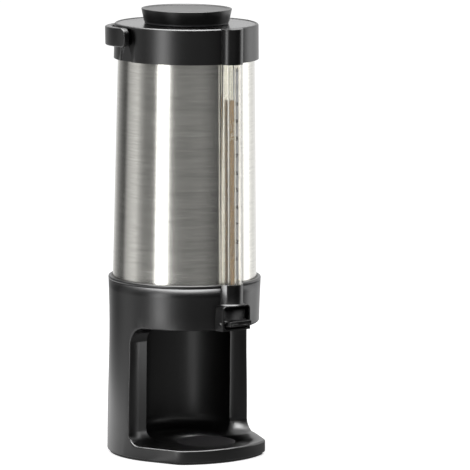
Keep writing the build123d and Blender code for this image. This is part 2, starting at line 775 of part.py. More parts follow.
# Collar: skirt over the shell's top, roof with the filling mouth, and a ring that presses on the liner
collar_bore = shell_radius(collar_z) + seat_gap
roof_z = collar_top - collar_plate
with BuildPart() as collar:
    with BuildSketch(Plane.XZ) as collar_side:
        with BuildLine():
            Polyline(
                (collar_bore, collar_z),
                (collar_foot_radius, collar_z),
                (collar_top_radius, collar_top),
                (mouth_radius, collar_top),
                (mouth_radius, collar_top - mouth_depth),
                (mouth_radius + mouth_wall, collar_top - mouth_depth),
                (mouth_radius + mouth_wall, roof_z - top_plate_recess),
                (press_ring_radius - press_ring_wall, roof_z - top_plate_recess),
                (press_ring_radius - press_ring_wall, gasket_z),
                (press_ring_radius, gasket_z),
                (press_ring_radius, roof_z - top_plate_recess),
                (collar_bore, roof_z - top_plate_recess),
                close=True,
            )
        make_face()
        outer_corner = (collar_top_radius, collar_top)
        fillet(collar_side.vertices().sort_by_distance(outer_corner)[0], collar_edge_rounding)
    revolve(axis=Axis.Z)
    plate_inner = mouth_radius + mouth_wall
    plate_outer = collar_top_radius - top_plate_rim
    plate_seat_z = collar_top - top_plate_recess
    ring(plate_inner, plate_outer, plate_seat_z, collar_top + cut_overrun, Mode.SUBTRACT)
    for side in (-1, 1):
        with BuildSketch(Plane.YZ.offset(side * pocket_floor)) as pocket:
            with Locations((pivot_behind_axis, collar_z + (collar_height - pocket_below_top) / 2)):
                Rectangle(2 * pocket_half_width, collar_height - pocket_below_top)
            fillet(pocket.vertices().group_by(Axis.Y)[-1], pocket_corner)
        extrude(amount=side * (collar_foot_radius - pocket_floor + cut_overrun), mode=Mode.SUBTRACT)
        with BuildSketch(Plane.YZ.offset(side * pocket_floor)):
            with Locations((pivot_behind_axis, pivot_z)):
                Circle(pivot_boss_radius)
        extrude(amount=-side * pivot_boss_depth)
        with BuildSketch(Plane.YZ.offset(side * pocket_floor)):
            with Locations((pivot_behind_axis, pivot_z)):
                Circle(pivot_pin_radius + running_gap)
        extrude(amount=-side * (pivot_pin_in_collar + seat_gap), mode=Mode.SUBTRACT)
    tube_slot_top = tube_top_z + gauge_plug_head + seat_gap
    with BuildSketch(Plane.XZ.offset(collar_bore - cut_overrun)):
        with Locations((0, (collar_z + tube_slot_top) / 2)):
            Rectangle(2 * notch_half_width, tube_slot_top - collar_z)
    extrude(amount=collar_foot_radius - collar_bore + 2 * cut_overrun, mode=Mode.SUBTRACT)
    ledge_back = (collar_bore + collar_top_radius) / 2
    with BuildSketch(Plane.XY.offset(ledge_top_z - handle_ledge)):
        with Locations((0, (ledge_back + ledge_reach) / 2)):
            Rectangle(2 * ledge_half_width, ledge_reach - ledge_back)
    extrude(amount=handle_ledge)
collar.part.label = "collar"
export_step(collar.part, "parts/collar.step")

with BuildPart() as collar_top_plate:
    ring(plate_inner + seat_gap, plate_outer - seat_gap, plate_seat_z, collar_top - top_plate_step)
collar_top_plate.part.label = "collar_top_plate"
export_step(collar_top_plate.part, "parts/collar_top_plate.step")

with BuildPart() as liner_gasket:
    ring(press_ring_radius - press_ring_wall, press_ring_radius, flange_top_z, gasket_z)
liner_gasket.part.label = "liner_gasket"
export_step(liner_gasket.part, "parts/liner_gasket.step")

# Carrying handle: a half ring with straight ends and a hub at each side, on two steel pins.
# It rests a little below level on the collar's rear ledge.
pin_inner = pocket_floor - pivot_pin_in_collar
pin_outer = handle_inner_radius + pivot_pin_in_arm
with BuildPart() as handle:
    with BuildSketch(Plane.XY.offset(handle_bottom_z)):
        Circle(handle_outer_radius)
        Circle(handle_inner_radius, mode=Mode.SUBTRACT)
        with Locations((0, -handle_outer_radius / 2)):
            Rectangle(2 * handle_outer_radius, handle_outer_radius, mode=Mode.SUBTRACT)
        arm_middle = (handle_inner_radius + handle_outer_radius) / 2
        with Locations((-arm_middle, -handle_end_reach / 2), (arm_middle, -handle_end_reach / 2)):
            Rectangle(handle_outer_radius - handle_inner_radius, handle_end_reach)
    extrude(amount=handle_height)
    fillet(handle.edges().filter_by(Axis.X).group_by(Axis.Y)[0], handle_end_rounding)
    smooth_joints = handle.edges().filter_by(Axis.Z).group_by(Axis.Y)[-1]
    long_edges = handle.edges().filter_by(Axis.X, reverse=True)
    fillet([edge for edge in long_edges if edge not in smooth_joints], handle_edge_rounding)
    for side in (-1, 1):
        with BuildSketch(Plane.YZ.offset(side * (pocket_floor + seat_gap))):
            with Locations((pivot_behind_axis, pivot_z)):
                Circle(pivot_hub_radius)
        extrude(amount=side * (arm_middle - pocket_floor - seat_gap))
        with BuildSketch(Plane.YZ.offset(side * (pocket_floor + seat_gap))):
            with Locations((pivot_behind_axis, pivot_z)):
                Circle(pivot_pin_radius + running_gap)
        extrude(amount=side * (pin_outer - pocket_floor), mode=Mode.SUBTRACT)
pivot_axis = Axis((0, pivot_behind_axis, pivot_z), (1, 0, 0))
handle.part = handle.part.rotate(pivot_axis, -handle_rest_tilt)
handle.part.label = "handle"
export_step(handle.part, "parts/handle.step")

with BuildPart() as handle_pins:
    for side in (-1, 1):
        with BuildSketch(Plane.YZ.offset(side * pin_inner)):
            with Locations((pivot_behind_axis, pivot_z)):
                Circle(pivot_pin_radius)
        extrude(amount=side * (pin_outer - pin_inner))
handle_pins.part.label = "handle_pins"
export_step(handle_pins.part, "parts/handle_pins.step")

# Lid: a dished cap over a hollow plug, with a seal, and the chill core bolted through the plug's floor
with BuildPart() as lid_cap:
    dish_z = lid_top - lid_dish
    with BuildSketch(Plane.XZ) as cap_side:
        with BuildLine():
            Polyline(
                (0, dish_z),
                (lid_top_radius - lid_rim_width - lid_wall, dish_z),
                (lid_top_radius - lid_rim_width, lid_top),
                (lid_top_radius, lid_top),
                (lid_foot_radius, lid_z),
                (lid_foot_radius - lid_wall, lid_z),
                (lid_foot_radius - lid_wall, dish_z - lid_wall),
                (0, dish_z - lid_wall),
                close=True,
            )
        make_face()
        fillet(cap_side.vertices().sort_by_distance((lid_top_radius, lid_top))[0], lid_edge_rounding)
    revolve(axis=Axis.Z)
lid_cap.part.label = "lid_cap"
export_step(lid_cap.part, "parts/lid_cap.step")

with BuildPart() as lid_plug:
    shoulder_z = collar_top + running_gap
    with BuildSketch(Plane.XZ):
        with BuildLine():
            Polyline(
                (core_neck_radius + running_gap, plug_bottom_z),
                (plug_radius, plug_bottom_z),
                (plug_radius, shoulder_z),
                (plug_shoulder, shoulder_z),
                (plug_shoulder, lid_z),
                (plug_radius - plug_wall, lid_z),
                (plug_radius - plug_wall, plug_bottom_z + plug_wall),
                (core_neck_radius + running_gap, plug_bottom_z + plug_wall),
                close=True,
            )
        make_face()
    revolve(axis=Axis.Z)
lid_plug.part.label = "lid_plug"
export_step(lid_plug.part, "parts/lid_plug.step")

with BuildPart() as lid_seal:
    seal_top_z = collar_top - seal_drop
    ring(plug_radius + running_gap, mouth_radius - seat_gap, seal_top_z - seal_height, seal_top_z)
lid_seal.part.label = "lid_seal"
export_step(lid_seal.part, "parts/lid_seal.step")

with BuildPart() as chill_core:
    core_bottom_z = plug_bottom_z - core_length
    with BuildSketch(Plane.XZ) as core_side:
        with BuildLine():
            Polyline(
                (0, core_bottom_z),
                (core_radius, core_bottom_z),
                (core_radius, plug_bottom_z),
                (core_neck_radius, plug_bottom_z),
                (core_neck_radius, plug_bottom_z + core_neck_height),
                (core_neck_radius - core_wall, plug_bottom_z + core_neck_height),
                (core_neck_radius - core_wall, plug_bottom_z - core_wall),
                (core_radius - core_wall, plug_bottom_z - core_wall),
                (core_radius - core_wall, core_bottom_z + core_wall),
                (0, core_bottom_z + core_wall),
                close=True,
            )
        make_face()
        outer_corner = (core_radius, core_bottom_z)
        fillet(core_side.vertices().sort_by_distance(outer_corner)[0], core_end_rounding)
        inner_corner = (core_radius - core_wall, core_bottom_z + core_wall)
        fillet(core_side.vertices().sort_by_distance(inner_corner)[0], core_end_rounding - core_wall)
    revolve(axis=Axis.Z)
chill_core.part.label = "chill_core"
export_step(chill_core.part, "parts/chill_core.step")

with BuildPart() as core_nut:
    nut_z = plug_bottom_z + plug_wall
    ring(core_neck_radius + running_gap, core_nut_radius, nut_z, nut_z + core_nut_height)
core_nut.part.label = "core_nut"
export_step(core_nut.part, "parts/core_nut.step")

# Sight gauge: glass tube, its clear cover and the scale strip, all along the shell's slope
tube_reach = shell_rim_radius + gauge_tube_stand_off
cover_reach = shell_rim_radius + gauge_cover_stand_off
with BuildPart() as gauge_tube:
    tube_bottom_z = socket_floor_z + running_gap
    slanted(disc_plan(gauge_tube_radius, tube_reach), tube_bottom_z, tube_top_z)
    slanted(disc_plan(gauge_tube_bore, tube_reach), tube_bottom_z, tube_top_z, Mode.SUBTRACT)
gauge_tube.part.label = "gauge_tube"
export_step(gauge_tube.part, "parts/gauge_tube.step")

with BuildPart() as gauge_cover:
    cover_inside = gauge_cover_half_width - gauge_cover_wall
    cover_back = shell_rim_radius - cut_overrun
    slanted(nose_plan(gauge_cover_half_width, cover_reach, cover_back), rim_z, collar_z)
    slanted(nose_plan(cover_inside, cover_reach, cover_back), rim_z, collar_z, Mode.SUBTRACT)
    slanted(disc_plan(shell_rim_radius + seat_gap, 0), rim_z, collar_z, Mode.SUBTRACT)
gauge_cover.part.label = "gauge_cover"
export_step(gauge_cover.part, "parts/gauge_cover.step")

with BuildPart() as gauge_scale:
    slanted(scale_plan(), rim_z + gauge_scale_margin, collar_z - gauge_scale_margin)
gauge_scale.part.label = "gauge_scale"
export_step(gauge_scale.part, "parts/gauge_scale.step")

with BuildPart() as gauge_plug:
    slanted(disc_plan(gauge_tube_bore - running_gap, tube_reach), tube_top_z - gauge_plug_depth, tube_top_z)
    slanted(disc_plan(gauge_tube_radius, tube_reach), tube_top_z, tube_top_z + gauge_plug_head)
    vent_bottom_z = tube_top_z - gauge_plug_depth
    vent = disc_plan(gauge_vent_radius, tube_reach)
    slanted(vent, vent_bottom_z, tube_top_z + gauge_plug_head, Mode.SUBTRACT)
gauge_plug.part.label = "gauge_plug"
export_step(gauge_plug.part, "parts/gauge_plug.step")

# Lower fitting: a block with the tube's socket and a port that runs back into the liner
fitting_back = shell_rim_radius + seat_gap
fitting_front = fitting_back + gauge_fitting_depth
port_back = liner_radius - liner_wall - seat_gap
with BuildPart() as gauge_fitting:
    with BuildSketch(Plane.XY.offset(fitting_z)):
        with Locations((0, -(fitting_back + fitting_front) / 2)):
            Rectangle(2 * gauge_fitting_half_width, gauge_fitting_depth)
    extrude(amount=fitting_top_z - fitting_z)
    fillet(gauge_fitting.edges().filter_by(Axis.Z).group_by(Axis.Y)[0], gauge_ring_width)
    with BuildSketch(Plane.XZ.offset(port_back)):
        with Locations((0, port_z)):
            Circle(gauge_port_radius)
    extrude(amount=fitting_back - port_back)
    with BuildSketch(Plane.XZ.offset(port_back)):
        with Locations((0, port_z)):
            Circle(gauge_port_bore)
    extrude(amount=tube_reach - port_back, mode=Mode.SUBTRACT)
    slanted(disc_plan(gauge_port_bore, tube_reach), port_z, fitting_top_z, Mode.SUBTRACT)
    socket = disc_plan(gauge_tube_radius + running_gap, tube_reach)
    slanted(socket, socket_floor_z, fitting_top_z + cut_overrun, Mode.SUBTRACT)
gauge_fitting.part.label = "gauge_fitting"
export_step(gauge_fitting.part, "parts/gauge_fitting.step")

with BuildPart() as gauge_seal:
    seal_z = fitting_top_z + gauge_ring_height
    slanted(disc_plan(gauge_tube_radius + gauge_ring_width, tube_reach), fitting_top_z, seal_z)
    slanted(disc_plan(gauge_tube_radius + running_gap, tube_reach), fitting_top_z, seal_z, Mode.SUBTRACT)
gauge_seal.part.label = "gauge_seal"
export_step(gauge_seal.part, "parts/gauge_seal.step")

# Nose mouldings: a head at the collar and a neck above the tap, both hollow and open at the back
with BuildPart() as gauge_head:
    head_back = head_nose_reach - head_nose_radius
    with BuildSketch(Plane.XY.offset(collar_z)):
        add(nose_plan(head_nose_radius, head_nose_reach, head_back))
    extrude(amount=collar_height)
    with BuildSketch(Plane.XY.offset(collar_z + nose_wall)):
        add(nose_plan(head_nose_radius - nose_wall, head_nose_reach, head_back))
    extrude(amount=collar_height - 2 * nose_wall, mode=Mode.SUBTRACT)
    slanted(disc_plan(gauge_tube_radius + seat_gap, tube_reach), collar_z, tube_top_z, Mode.SUBTRACT)
    with BuildSketch(Plane.XZ):
        with BuildLine():
            Polyline(
                (0, collar_z - cut_overrun),
                (collar_foot_radius + nose_gap, collar_z - cut_overrun),
                (collar_foot_radius + nose_gap, collar_z),
                (collar_top_radius + nose_gap, collar_top),
                (collar_top_radius + nose_gap, collar_top + cut_overrun),
                (0, collar_top + cut_overrun),
                close=True,
            )
        make_face()
    revolve(axis=Axis.Z, mode=Mode.SUBTRACT)
gauge_head.part.label = "gauge_head"
export_step(gauge_head.part, "parts/gauge_head.step")

with BuildPart() as gauge_neck:
    neck_back = neck_nose_reach - neck_nose_radius
    with BuildSketch(Plane.XY.offset(housing_top)):
        add(nose_plan(neck_nose_radius, neck_nose_reach, neck_back))
    extrude(amount=rim_z - housing_top)
    with BuildSketch(Plane.XY.offset(housing_top)):
        add(nose_plan(neck_nose_radius + neck_flare, neck_nose_reach, neck_back))
    extrude(amount=neck_flare, taper=neck_flare_taper)
    with BuildSketch(Plane.XY.offset(housing_top)):
        add(nose_plan(neck_nose_radius - nose_wall, neck_nose_reach, neck_back))
    extrude(amount=rim_z - housing_top - nose_wall, mode=Mode.SUBTRACT)
    tube_hole = disc_plan(gauge_tube_radius + gauge_ring_width + seat_gap, tube_reach)
    slanted(tube_hole, rim_z - nose_wall - cut_overrun, rim_z, Mode.SUBTRACT)
    revolve(stand_profile(nose_gap), axis=Axis.Z, mode=Mode.SUBTRACT)
gauge_neck.part.label = "gauge_neck"
export_step(gauge_neck.part, "parts/gauge_neck.step")

# Tap housing: a frame round the lever's mouth
housing_back_reach = sqrt(stand_waist_radius**2 - housing_back_half_width**2) - cut_overrun
with BuildPart() as tap_housing:
    with BuildSketch(Plane.XY.offset(bay_top)):
        with BuildLine():
            Polyline(
                (-housing_back_half_width, -housing_back_reach),
                (-housing_front_half_width, -housing_reach),
                (housing_front_half_width, -housing_reach),
                (housing_back_half_width, -housing_back_reach),
                close=True,
            )
        make_face()
    extrude(amount=housing_height)
    top_edges = tap_housing.edges().group_by(Axis.Z)[-1]
    fillet(top_edges.filter_by(Axis.X, reverse=True), housing_corner_rounding)
    fillet(tap_housing.faces().sort_by(Axis.Y)[0].edges(), housing_edge_rounding)
    mouth_height = housing_height - housing_bottom_lip - housing_top_lip
    with BuildSketch(Plane.XZ.offset(housing_back_reach)) as mouth:
        with Locations((0, bay_top + housing_bottom_lip + mouth_height / 2)):
            Rectangle(2 * (housing_front_half_width - housing_side), mouth_height)
        fillet(mouth.vertices(), housing_mouth_rounding)
    extrude(amount=housing_reach - housing_back_reach, mode=Mode.SUBTRACT)
    revolve(stand_profile(nose_gap), axis=Axis.Z, mode=Mode.SUBTRACT)
    with BuildSketch(Plane.YZ):
        with Locations((-lever_pin_reach, lever_pin_z)):
            Circle(lever_pin_radius + running_gap)
    extrude(amount=housing_back_half_width, both=True, mode=Mode.SUBTRACT)
tap_housing.part.label = "tap_housing"
export_step(tap_housing.part, "parts/tap_housing.step")

# Lever: an upright plate with a paddle, and two slotted ears that pull the valve's cross bar
with BuildPart() as tap_lever:
    with BuildSketch(Plane.XZ.offset(plate_back)):
        with Locations((0, lever_pin_z)):
            Rectangle(2 * lever_half_width, lever_thickness)
    extrude(amount=lever_reach - plate_back)
    fillet(tap_lever.edges().filter_by(Axis.Z).group_by(Axis.Y)[0], lever_corner_rounding)
    fillet(tap_lever.faces().sort_by(Axis.Y)[0].edges().filter_by(Axis.X), lever_edge_rounding)
    with BuildSketch(Plane.XZ.offset(plate_back)) as upright:
        with Locations((0, lever_bottom_z + lever_plate_height / 2)):
            Rectangle(2 * lever_half_width, lever_plate_height)
        fillet(upright.vertices().group_by(Axis.Y)[-1], lever_plate_rounding)
    extrude(amount=lever_plate_thickness)
    groove_half_width = lever_half_width - lever_groove_margin
    with BuildSketch(Plane.XZ.offset(lever_reach - lever_groove_depth)):
        with Locations((0, lever_pin_z)):
            Rectangle(2 * groove_half_width, lever_groove_height)
    extrude(amount=lever_groove_depth, mode=Mode.SUBTRACT)
    with BuildSketch(Plane.YZ):
        with Locations((-lever_pin_reach, lever_pin_z)):
            Circle(lever_pin_radius + running_gap)
    extrude(amount=lever_half_width, both=True, mode=Mode.SUBTRACT)
    ear_width = rod_bar_radius + ear_slot_gap
    for side in (-1, 1):
        with BuildSketch(Plane.YZ.offset(side * ear_inner)):
            with Locations((-(plate_back + ear_back_reach) / 2, valve_z + (ear_top - ear_foot) / 2)):
                Rectangle(plate_back - ear_back_reach, ear_top + ear_foot)
            with Locations((-rod_bar_reach, valve_z + (ear_top - ear_slot_drop) / 2)):
                Rectangle(2 * ear_width, ear_top + ear_slot_drop, mode=Mode.SUBTRACT)
        extrude(amount=side * (ear_outer - ear_inner))
tap_lever.part.label = "tap_lever"
export_step(tap_lever.part, "parts/tap_lever.step")

flank_taper = (housing_back_half_width - housing_front_half_width) / (housing_reach - housing_back_reach)
flank_at_pin = housing_front_half_width + flank_taper * (housing_reach - lever_pin_reach)
with BuildPart() as lever_pin:
    with BuildSketch(Plane.YZ):
        with Locations((-lever_pin_reach, lever_pin_z)):
            Circle(lever_pin_radius)
    extrude(amount=flank_at_pin + lever_pin_overhang, both=True)
lever_pin.part.label = "lever_pin"
export_step(lever_pin.part, "parts/lever_pin.step")

# Valve: rod with a flange and a cross bar, its rubber disc, the spring and the gland
disc_back = valve_seat_reach + valve_seat_gap
flange_back = disc_back + valve_disc_thickness
flange_front = flange_back + rod_flange_thickness
rod_front = rod_bar_reach + rod_bar_radius + rod_tip


def valve_round(radius, back, front, mode=Mode.ADD):
    """Round bar along the valve's axis between two reaches from the vessel's axis."""
    with BuildSketch(Plane.XZ.offset(back)) as section:
        with Locations((0, valve_z)):
            Circle(radius)
    extrude(section.sketch, amount=front - back, mode=mode)


with BuildPart() as valve_plunger:
    valve_round(rod_radius, flange_back, rod_front)
    valve_round(rod_flange_radius, flange_back, flange_front)
    valve_round(rod_pip_radius, flange_back - rod_pip_length, flange_back)
    with BuildSketch(Plane.YZ):
        with Locations((-rod_bar_reach, valve_z)):
            Circle(rod_bar_radius)
    extrude(amount=rod_bar_half_length, both=True)
valve_plunger.part.label = "valve_plunger"
export_step(valve_plunger.part, "parts/valve_plunger.step")

with BuildPart() as valve_disc:
    valve_round(valve_disc_radius, disc_back, flange_back)
    pip_back = flange_back - rod_pip_length - running_gap
    valve_round(rod_pip_radius + running_gap, pip_back, flange_back, Mode.SUBTRACT)
valve_disc.part.label = "valve_disc"
export_step(valve_disc.part, "parts/valve_disc.step")

spring_back = flange_front + spring_wire_radius + spring_end_gap
spring_front = valve_front_reach - spring_wire_radius - spring_end_gap
with BuildPart() as return_spring:
    with BuildLine() as coil:
        Helix(
            pitch=(spring_front - spring_back) / spring_turns,
            height=spring_front - spring_back,
            radius=spring_radius,
            center=(0, -spring_back, valve_z),
            direction=(0, -1, 0),
        )
    with BuildSketch(Plane(origin=coil.line @ 0, z_dir=coil.line % 0)):
        Circle(spring_wire_radius)
    sweep()
return_spring.part.label = "return_spring"
export_step(return_spring.part, "parts/return_spring.step")

with BuildPart() as tap_gland:
    valve_round(valve_body_radius, valve_front_reach, valve_front_reach + gland_thickness)
    gland_front = valve_front_reach + gland_thickness
    valve_round(rod_radius + running_gap, valve_front_reach, gland_front, Mode.SUBTRACT)
tap_gland.part.label = "tap_gland"
export_step(tap_gland.part, "parts/tap_gland.step")

# Tap body: barrel with its seat, inlet socket, spout boss and the saddle it is screwed down by
with BuildPart() as tap_body:
    valve_round(valve_body_radius, valve_back_reach, valve_front_reach)
    with BuildSketch(Plane.XY.offset(valve_z)):
        with Locations((0, -inlet_reach)):
            Circle(inlet_socket_radius)
    extrude(amount=socket_top_z - valve_z)
    with BuildSketch(Plane.XY.offset(ceiling_top)):
        with Locations((0, -spout_reach)):
            Circle(spout_boss_radius)
    extrude(amount=valve_z - ceiling_top)
    with BuildSketch(Plane.XY.offset(ceiling_top)):
        with Locations((0, -saddle_reach)):
            Rectangle(2 * saddle_half_width, saddle_length)
    extrude(amount=saddle_rise)
    valve_round(valve_chamber_radius, valve_seat_reach, valve_front_reach, Mode.SUBTRACT)
    seat_back = valve_seat_reach - valve_seat_thickness
    valve_round(valve_chamber_radius, valve_back_reach + valve_back_wall, seat_back, Mode.SUBTRACT)
    valve_round(valve_seat_bore, seat_back, valve_seat_reach, Mode.SUBTRACT)
    with BuildSketch(Plane.XY.offset(valve_z)):
        with Locations((0, -inlet_reach)):
            Circle(outlet_bore)
    extrude(amount=socket_top_z - valve_z, mode=Mode.SUBTRACT)
    with BuildSketch(Plane.XY.offset(socket_top_z - outlet_in_socket)):
        with Locations((0, -inlet_reach)):
            Circle(outlet_radius + running_gap)
    extrude(amount=outlet_in_socket, mode=Mode.SUBTRACT)
    with BuildSketch(Plane.XY.offset(ceiling_top)):
        with Locations((0, -spout_reach)):
            Circle(spout_bore)
    extrude(amount=valve_z - ceiling_top, mode=Mode.SUBTRACT)
    with BuildSketch(Plane.XY.offset(ceiling_top)):
        with Locations((0, -spout_reach)):
            Circle(spout_radius + running_gap)
    extrude(amount=spout_socket_depth, mode=Mode.SUBTRACT)
    with BuildSketch(Plane.XY.offset(ceiling_top)):
        with Locations((-tap_screw_spread, -saddle_reach), (tap_screw_spread, -saddle_reach)):
            Circle(tap_screw_radius + running_gap)
    extrude(amount=bay_top + tap_screw_length + seat_gap - ceiling_top, mode=Mode.SUBTRACT)
tap_body.part.label = "tap_body"
export_step(tap_body.part, "parts/tap_body.step")

with BuildPart() as spout_nozzle:
    with BuildSketch(Plane.XY.offset(bay_top - spout_below_ceiling)):
        with Locations((0, -spout_reach)):
            Circle(spout_radius)
            Circle(spout_bore, mode=Mode.SUBTRACT)
    extrude(amount=spout_below_ceiling + ceiling + spout_socket_depth)
spout_nozzle.part.label = "spout_nozzle"
export_step(spout_nozzle.part, "parts/spout_nozzle.step")

with BuildPart() as tap_screws:
    with BuildSketch(Plane.XY.offset(bay_top)):
        with Locations((-tap_screw_spread, -saddle_reach), (tap_screw_spread, -saddle_reach)):
            Circle(tap_screw_head_radius)
    extrude(amount=tap_screw_head_height)
    with BuildSketch(Plane.XY.offset(bay_top)):
        with Locations((-tap_screw_spread, -saddle_reach), (tap_screw_spread, -saddle_reach)):
            Circle(tap_screw_radius)
    extrude(amount=tap_screw_length)
tap_screws.part.label = "tap_screws"
export_step(tap_screws.part, "parts/tap_screws.step")
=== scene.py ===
from math import cos, pi, radians, sin

import bmesh
import bpy
from mathutils import Matrix, Vector, noise


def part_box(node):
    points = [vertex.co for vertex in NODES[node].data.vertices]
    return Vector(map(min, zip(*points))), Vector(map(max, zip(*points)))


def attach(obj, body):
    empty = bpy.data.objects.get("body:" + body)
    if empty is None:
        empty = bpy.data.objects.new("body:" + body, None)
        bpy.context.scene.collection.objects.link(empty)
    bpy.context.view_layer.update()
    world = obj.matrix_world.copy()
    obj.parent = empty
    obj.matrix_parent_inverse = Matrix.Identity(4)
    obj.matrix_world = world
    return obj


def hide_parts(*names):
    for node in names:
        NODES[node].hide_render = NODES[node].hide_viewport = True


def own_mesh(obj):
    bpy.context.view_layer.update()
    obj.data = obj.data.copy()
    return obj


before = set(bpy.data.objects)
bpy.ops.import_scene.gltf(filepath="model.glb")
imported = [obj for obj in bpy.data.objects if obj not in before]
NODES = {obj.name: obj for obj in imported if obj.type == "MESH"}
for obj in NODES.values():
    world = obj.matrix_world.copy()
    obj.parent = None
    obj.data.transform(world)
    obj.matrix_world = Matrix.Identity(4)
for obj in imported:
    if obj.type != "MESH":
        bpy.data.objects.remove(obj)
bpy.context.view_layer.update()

bl_info = {
    "name": "Insulated drink dispenser",
    "version": (1, 0, 0),
    "blender": (4, 5, 0),
    "location": "3D View > Sidebar > Dispenser",
    "description": "Builds the visible pieces and the finishes of an insulated drink dispenser",
    "category": "Object",
}

MM = 0.001

# Brightness of the studio's screens, by the angle to the right of the camera's direction in degrees
SCREENS = (
    (-180, 1.0), (-162, 0.8), (-146, 0.4), (-130, 0.14), (-118, 0.06), (-110, 0.5), (-98, 0.72),
    (-88, 0.82), (-80, 0.42), (-72, 0.2), (-54, 0.14), (-49, 0.3), (-44, 6.0), (-33, 6.0), (-27, 0.4),
    (-18, 0.18), (0, 0.17), (24, 0.2), (34, 0.17), (50, 0.07), (78, 0.04), (100, 0.12), (107, 0.7),
    (115, 2.4), (123, 2.4), (130, 1.2), (142, 0.95), (180, 1.0),
)


# Settings that a user would change


class DispenserFinishes(bpy.types.PropertyGroup):
    moulding: bpy.props.FloatVectorProperty(
        name="Moulding", description="Colour of the black mouldings", subtype="COLOR", size=3,
        default=(0.0019, 0.0018, 0.0019), min=0, max=1,
    )
    steel: bpy.props.FloatVectorProperty(
        name="Steel", description="Colour of the brushed vessel", subtype="COLOR", size=3,
        default=(0.66, 0.65, 0.61), min=0, max=1,
    )
    tea: bpy.props.FloatVectorProperty(
        name="Tea", description="Colour of the drink in the gauge", subtype="COLOR", size=3,
        default=(0.42, 0.25, 0.085), min=0, max=1,
    )
    strip: bpy.props.FloatVectorProperty(
        name="Scale strip", description="Colour of the strip beside the tube", subtype="COLOR", size=3,
        default=(0.42, 0.45, 0.52), min=0, max=1,
    )
    texture_size: bpy.props.FloatProperty(
        name="Texture size", description="Width of one grain on the mouldings", unit="LENGTH",
        default=0.55 * MM, min=0.1 * MM,
    )


class DispenserGauge(bpy.types.PropertyGroup):
    tea_level: bpy.props.FloatProperty(
        name="Tea level", description="Height of the drink in the tube", unit="LENGTH",
        default=0.433,
    )
    first_mark: bpy.props.FloatProperty(
        name="First mark", description="Height of the lowest mark on the scale", unit="LENGTH",
        default=0.2435,
    )
    mark_pitch: bpy.props.FloatProperty(
        name="Mark pitch", description="Height between two marks", unit="LENGTH", default=0.0205,
    )
    marks: bpy.props.IntProperty(name="Marks", description="Number of marks", default=12, min=1)
    number_size: bpy.props.FloatProperty(
        name="Number size", description="Height of the numbers' line", unit="LENGTH",
        default=6.4 * MM,
    )
    bubbles: bpy.props.IntProperty(name="Bubbles", description="Number of bubbles", default=90, min=0)


class DispenserStudio(bpy.types.PropertyGroup):
    azimuth: bpy.props.FloatProperty(
        name="Azimuth", description="Camera's angle round the dispenser", subtype="ANGLE",
        default=radians(-38.0),
    )
    elevation: bpy.props.FloatProperty(
        name="Elevation", description="Camera's angle above the horizon", subtype="ANGLE",
        default=radians(8.2),
    )
    roll: bpy.props.FloatProperty(
        name="Roll", description="Camera's turn about its own axis", subtype="ANGLE",
        default=radians(0.44),
    )
    distance: bpy.props.FloatProperty(
        name="Distance", description="Camera's distance from the vessel's axis", unit="LENGTH",
        default=6.0,
    )
    aim_height: bpy.props.FloatProperty(
        name="Aim height", description="Height on the axis that the camera is aimed by",
        unit="LENGTH", default=0.258,
    )
    lens: bpy.props.FloatProperty(
        name="Lens", description="Focal length in millimetres", default=382.98,
    )
    key: bpy.props.FloatProperty(
        name="Key", description="Power of the key lamp", subtype="POWER", default=16.0,
    )
    fill: bpy.props.FloatProperty(
        name="Fill", description="Power of the fill and top lamps", subtype="POWER", default=7.0,
    )


# Shader helpers


class Amount:
    """A number socket that can be used in sums."""

    def __init__(self, mix, socket):
        self.mix = mix
        self.socket = socket

    def _math(self, operation, *values):
        made = self.mix.node("ShaderNodeMath", {"operation": operation})
        for place, value in enumerate(values):
            self.mix.feed(made.inputs[place], value)
        return Amount(self.mix, made.outputs[0])

    def __add__(self, other):
        return self._math("ADD", self, other)

    def __radd__(self, other):
        return self._math("ADD", other, self)

    def __sub__(self, other):
        return self._math("SUBTRACT", self, other)

    def __rsub__(self, other):
        return self._math("SUBTRACT", other, self)

    def __mul__(self, other):
        return self._math("MULTIPLY", self, other)

    def __rmul__(self, other):
        return self._math("MULTIPLY", other, self)

    def __truediv__(self, other):
        return self._math("DIVIDE", self, other)

    def __pow__(self, other):
        return self._math("POWER", self, other)


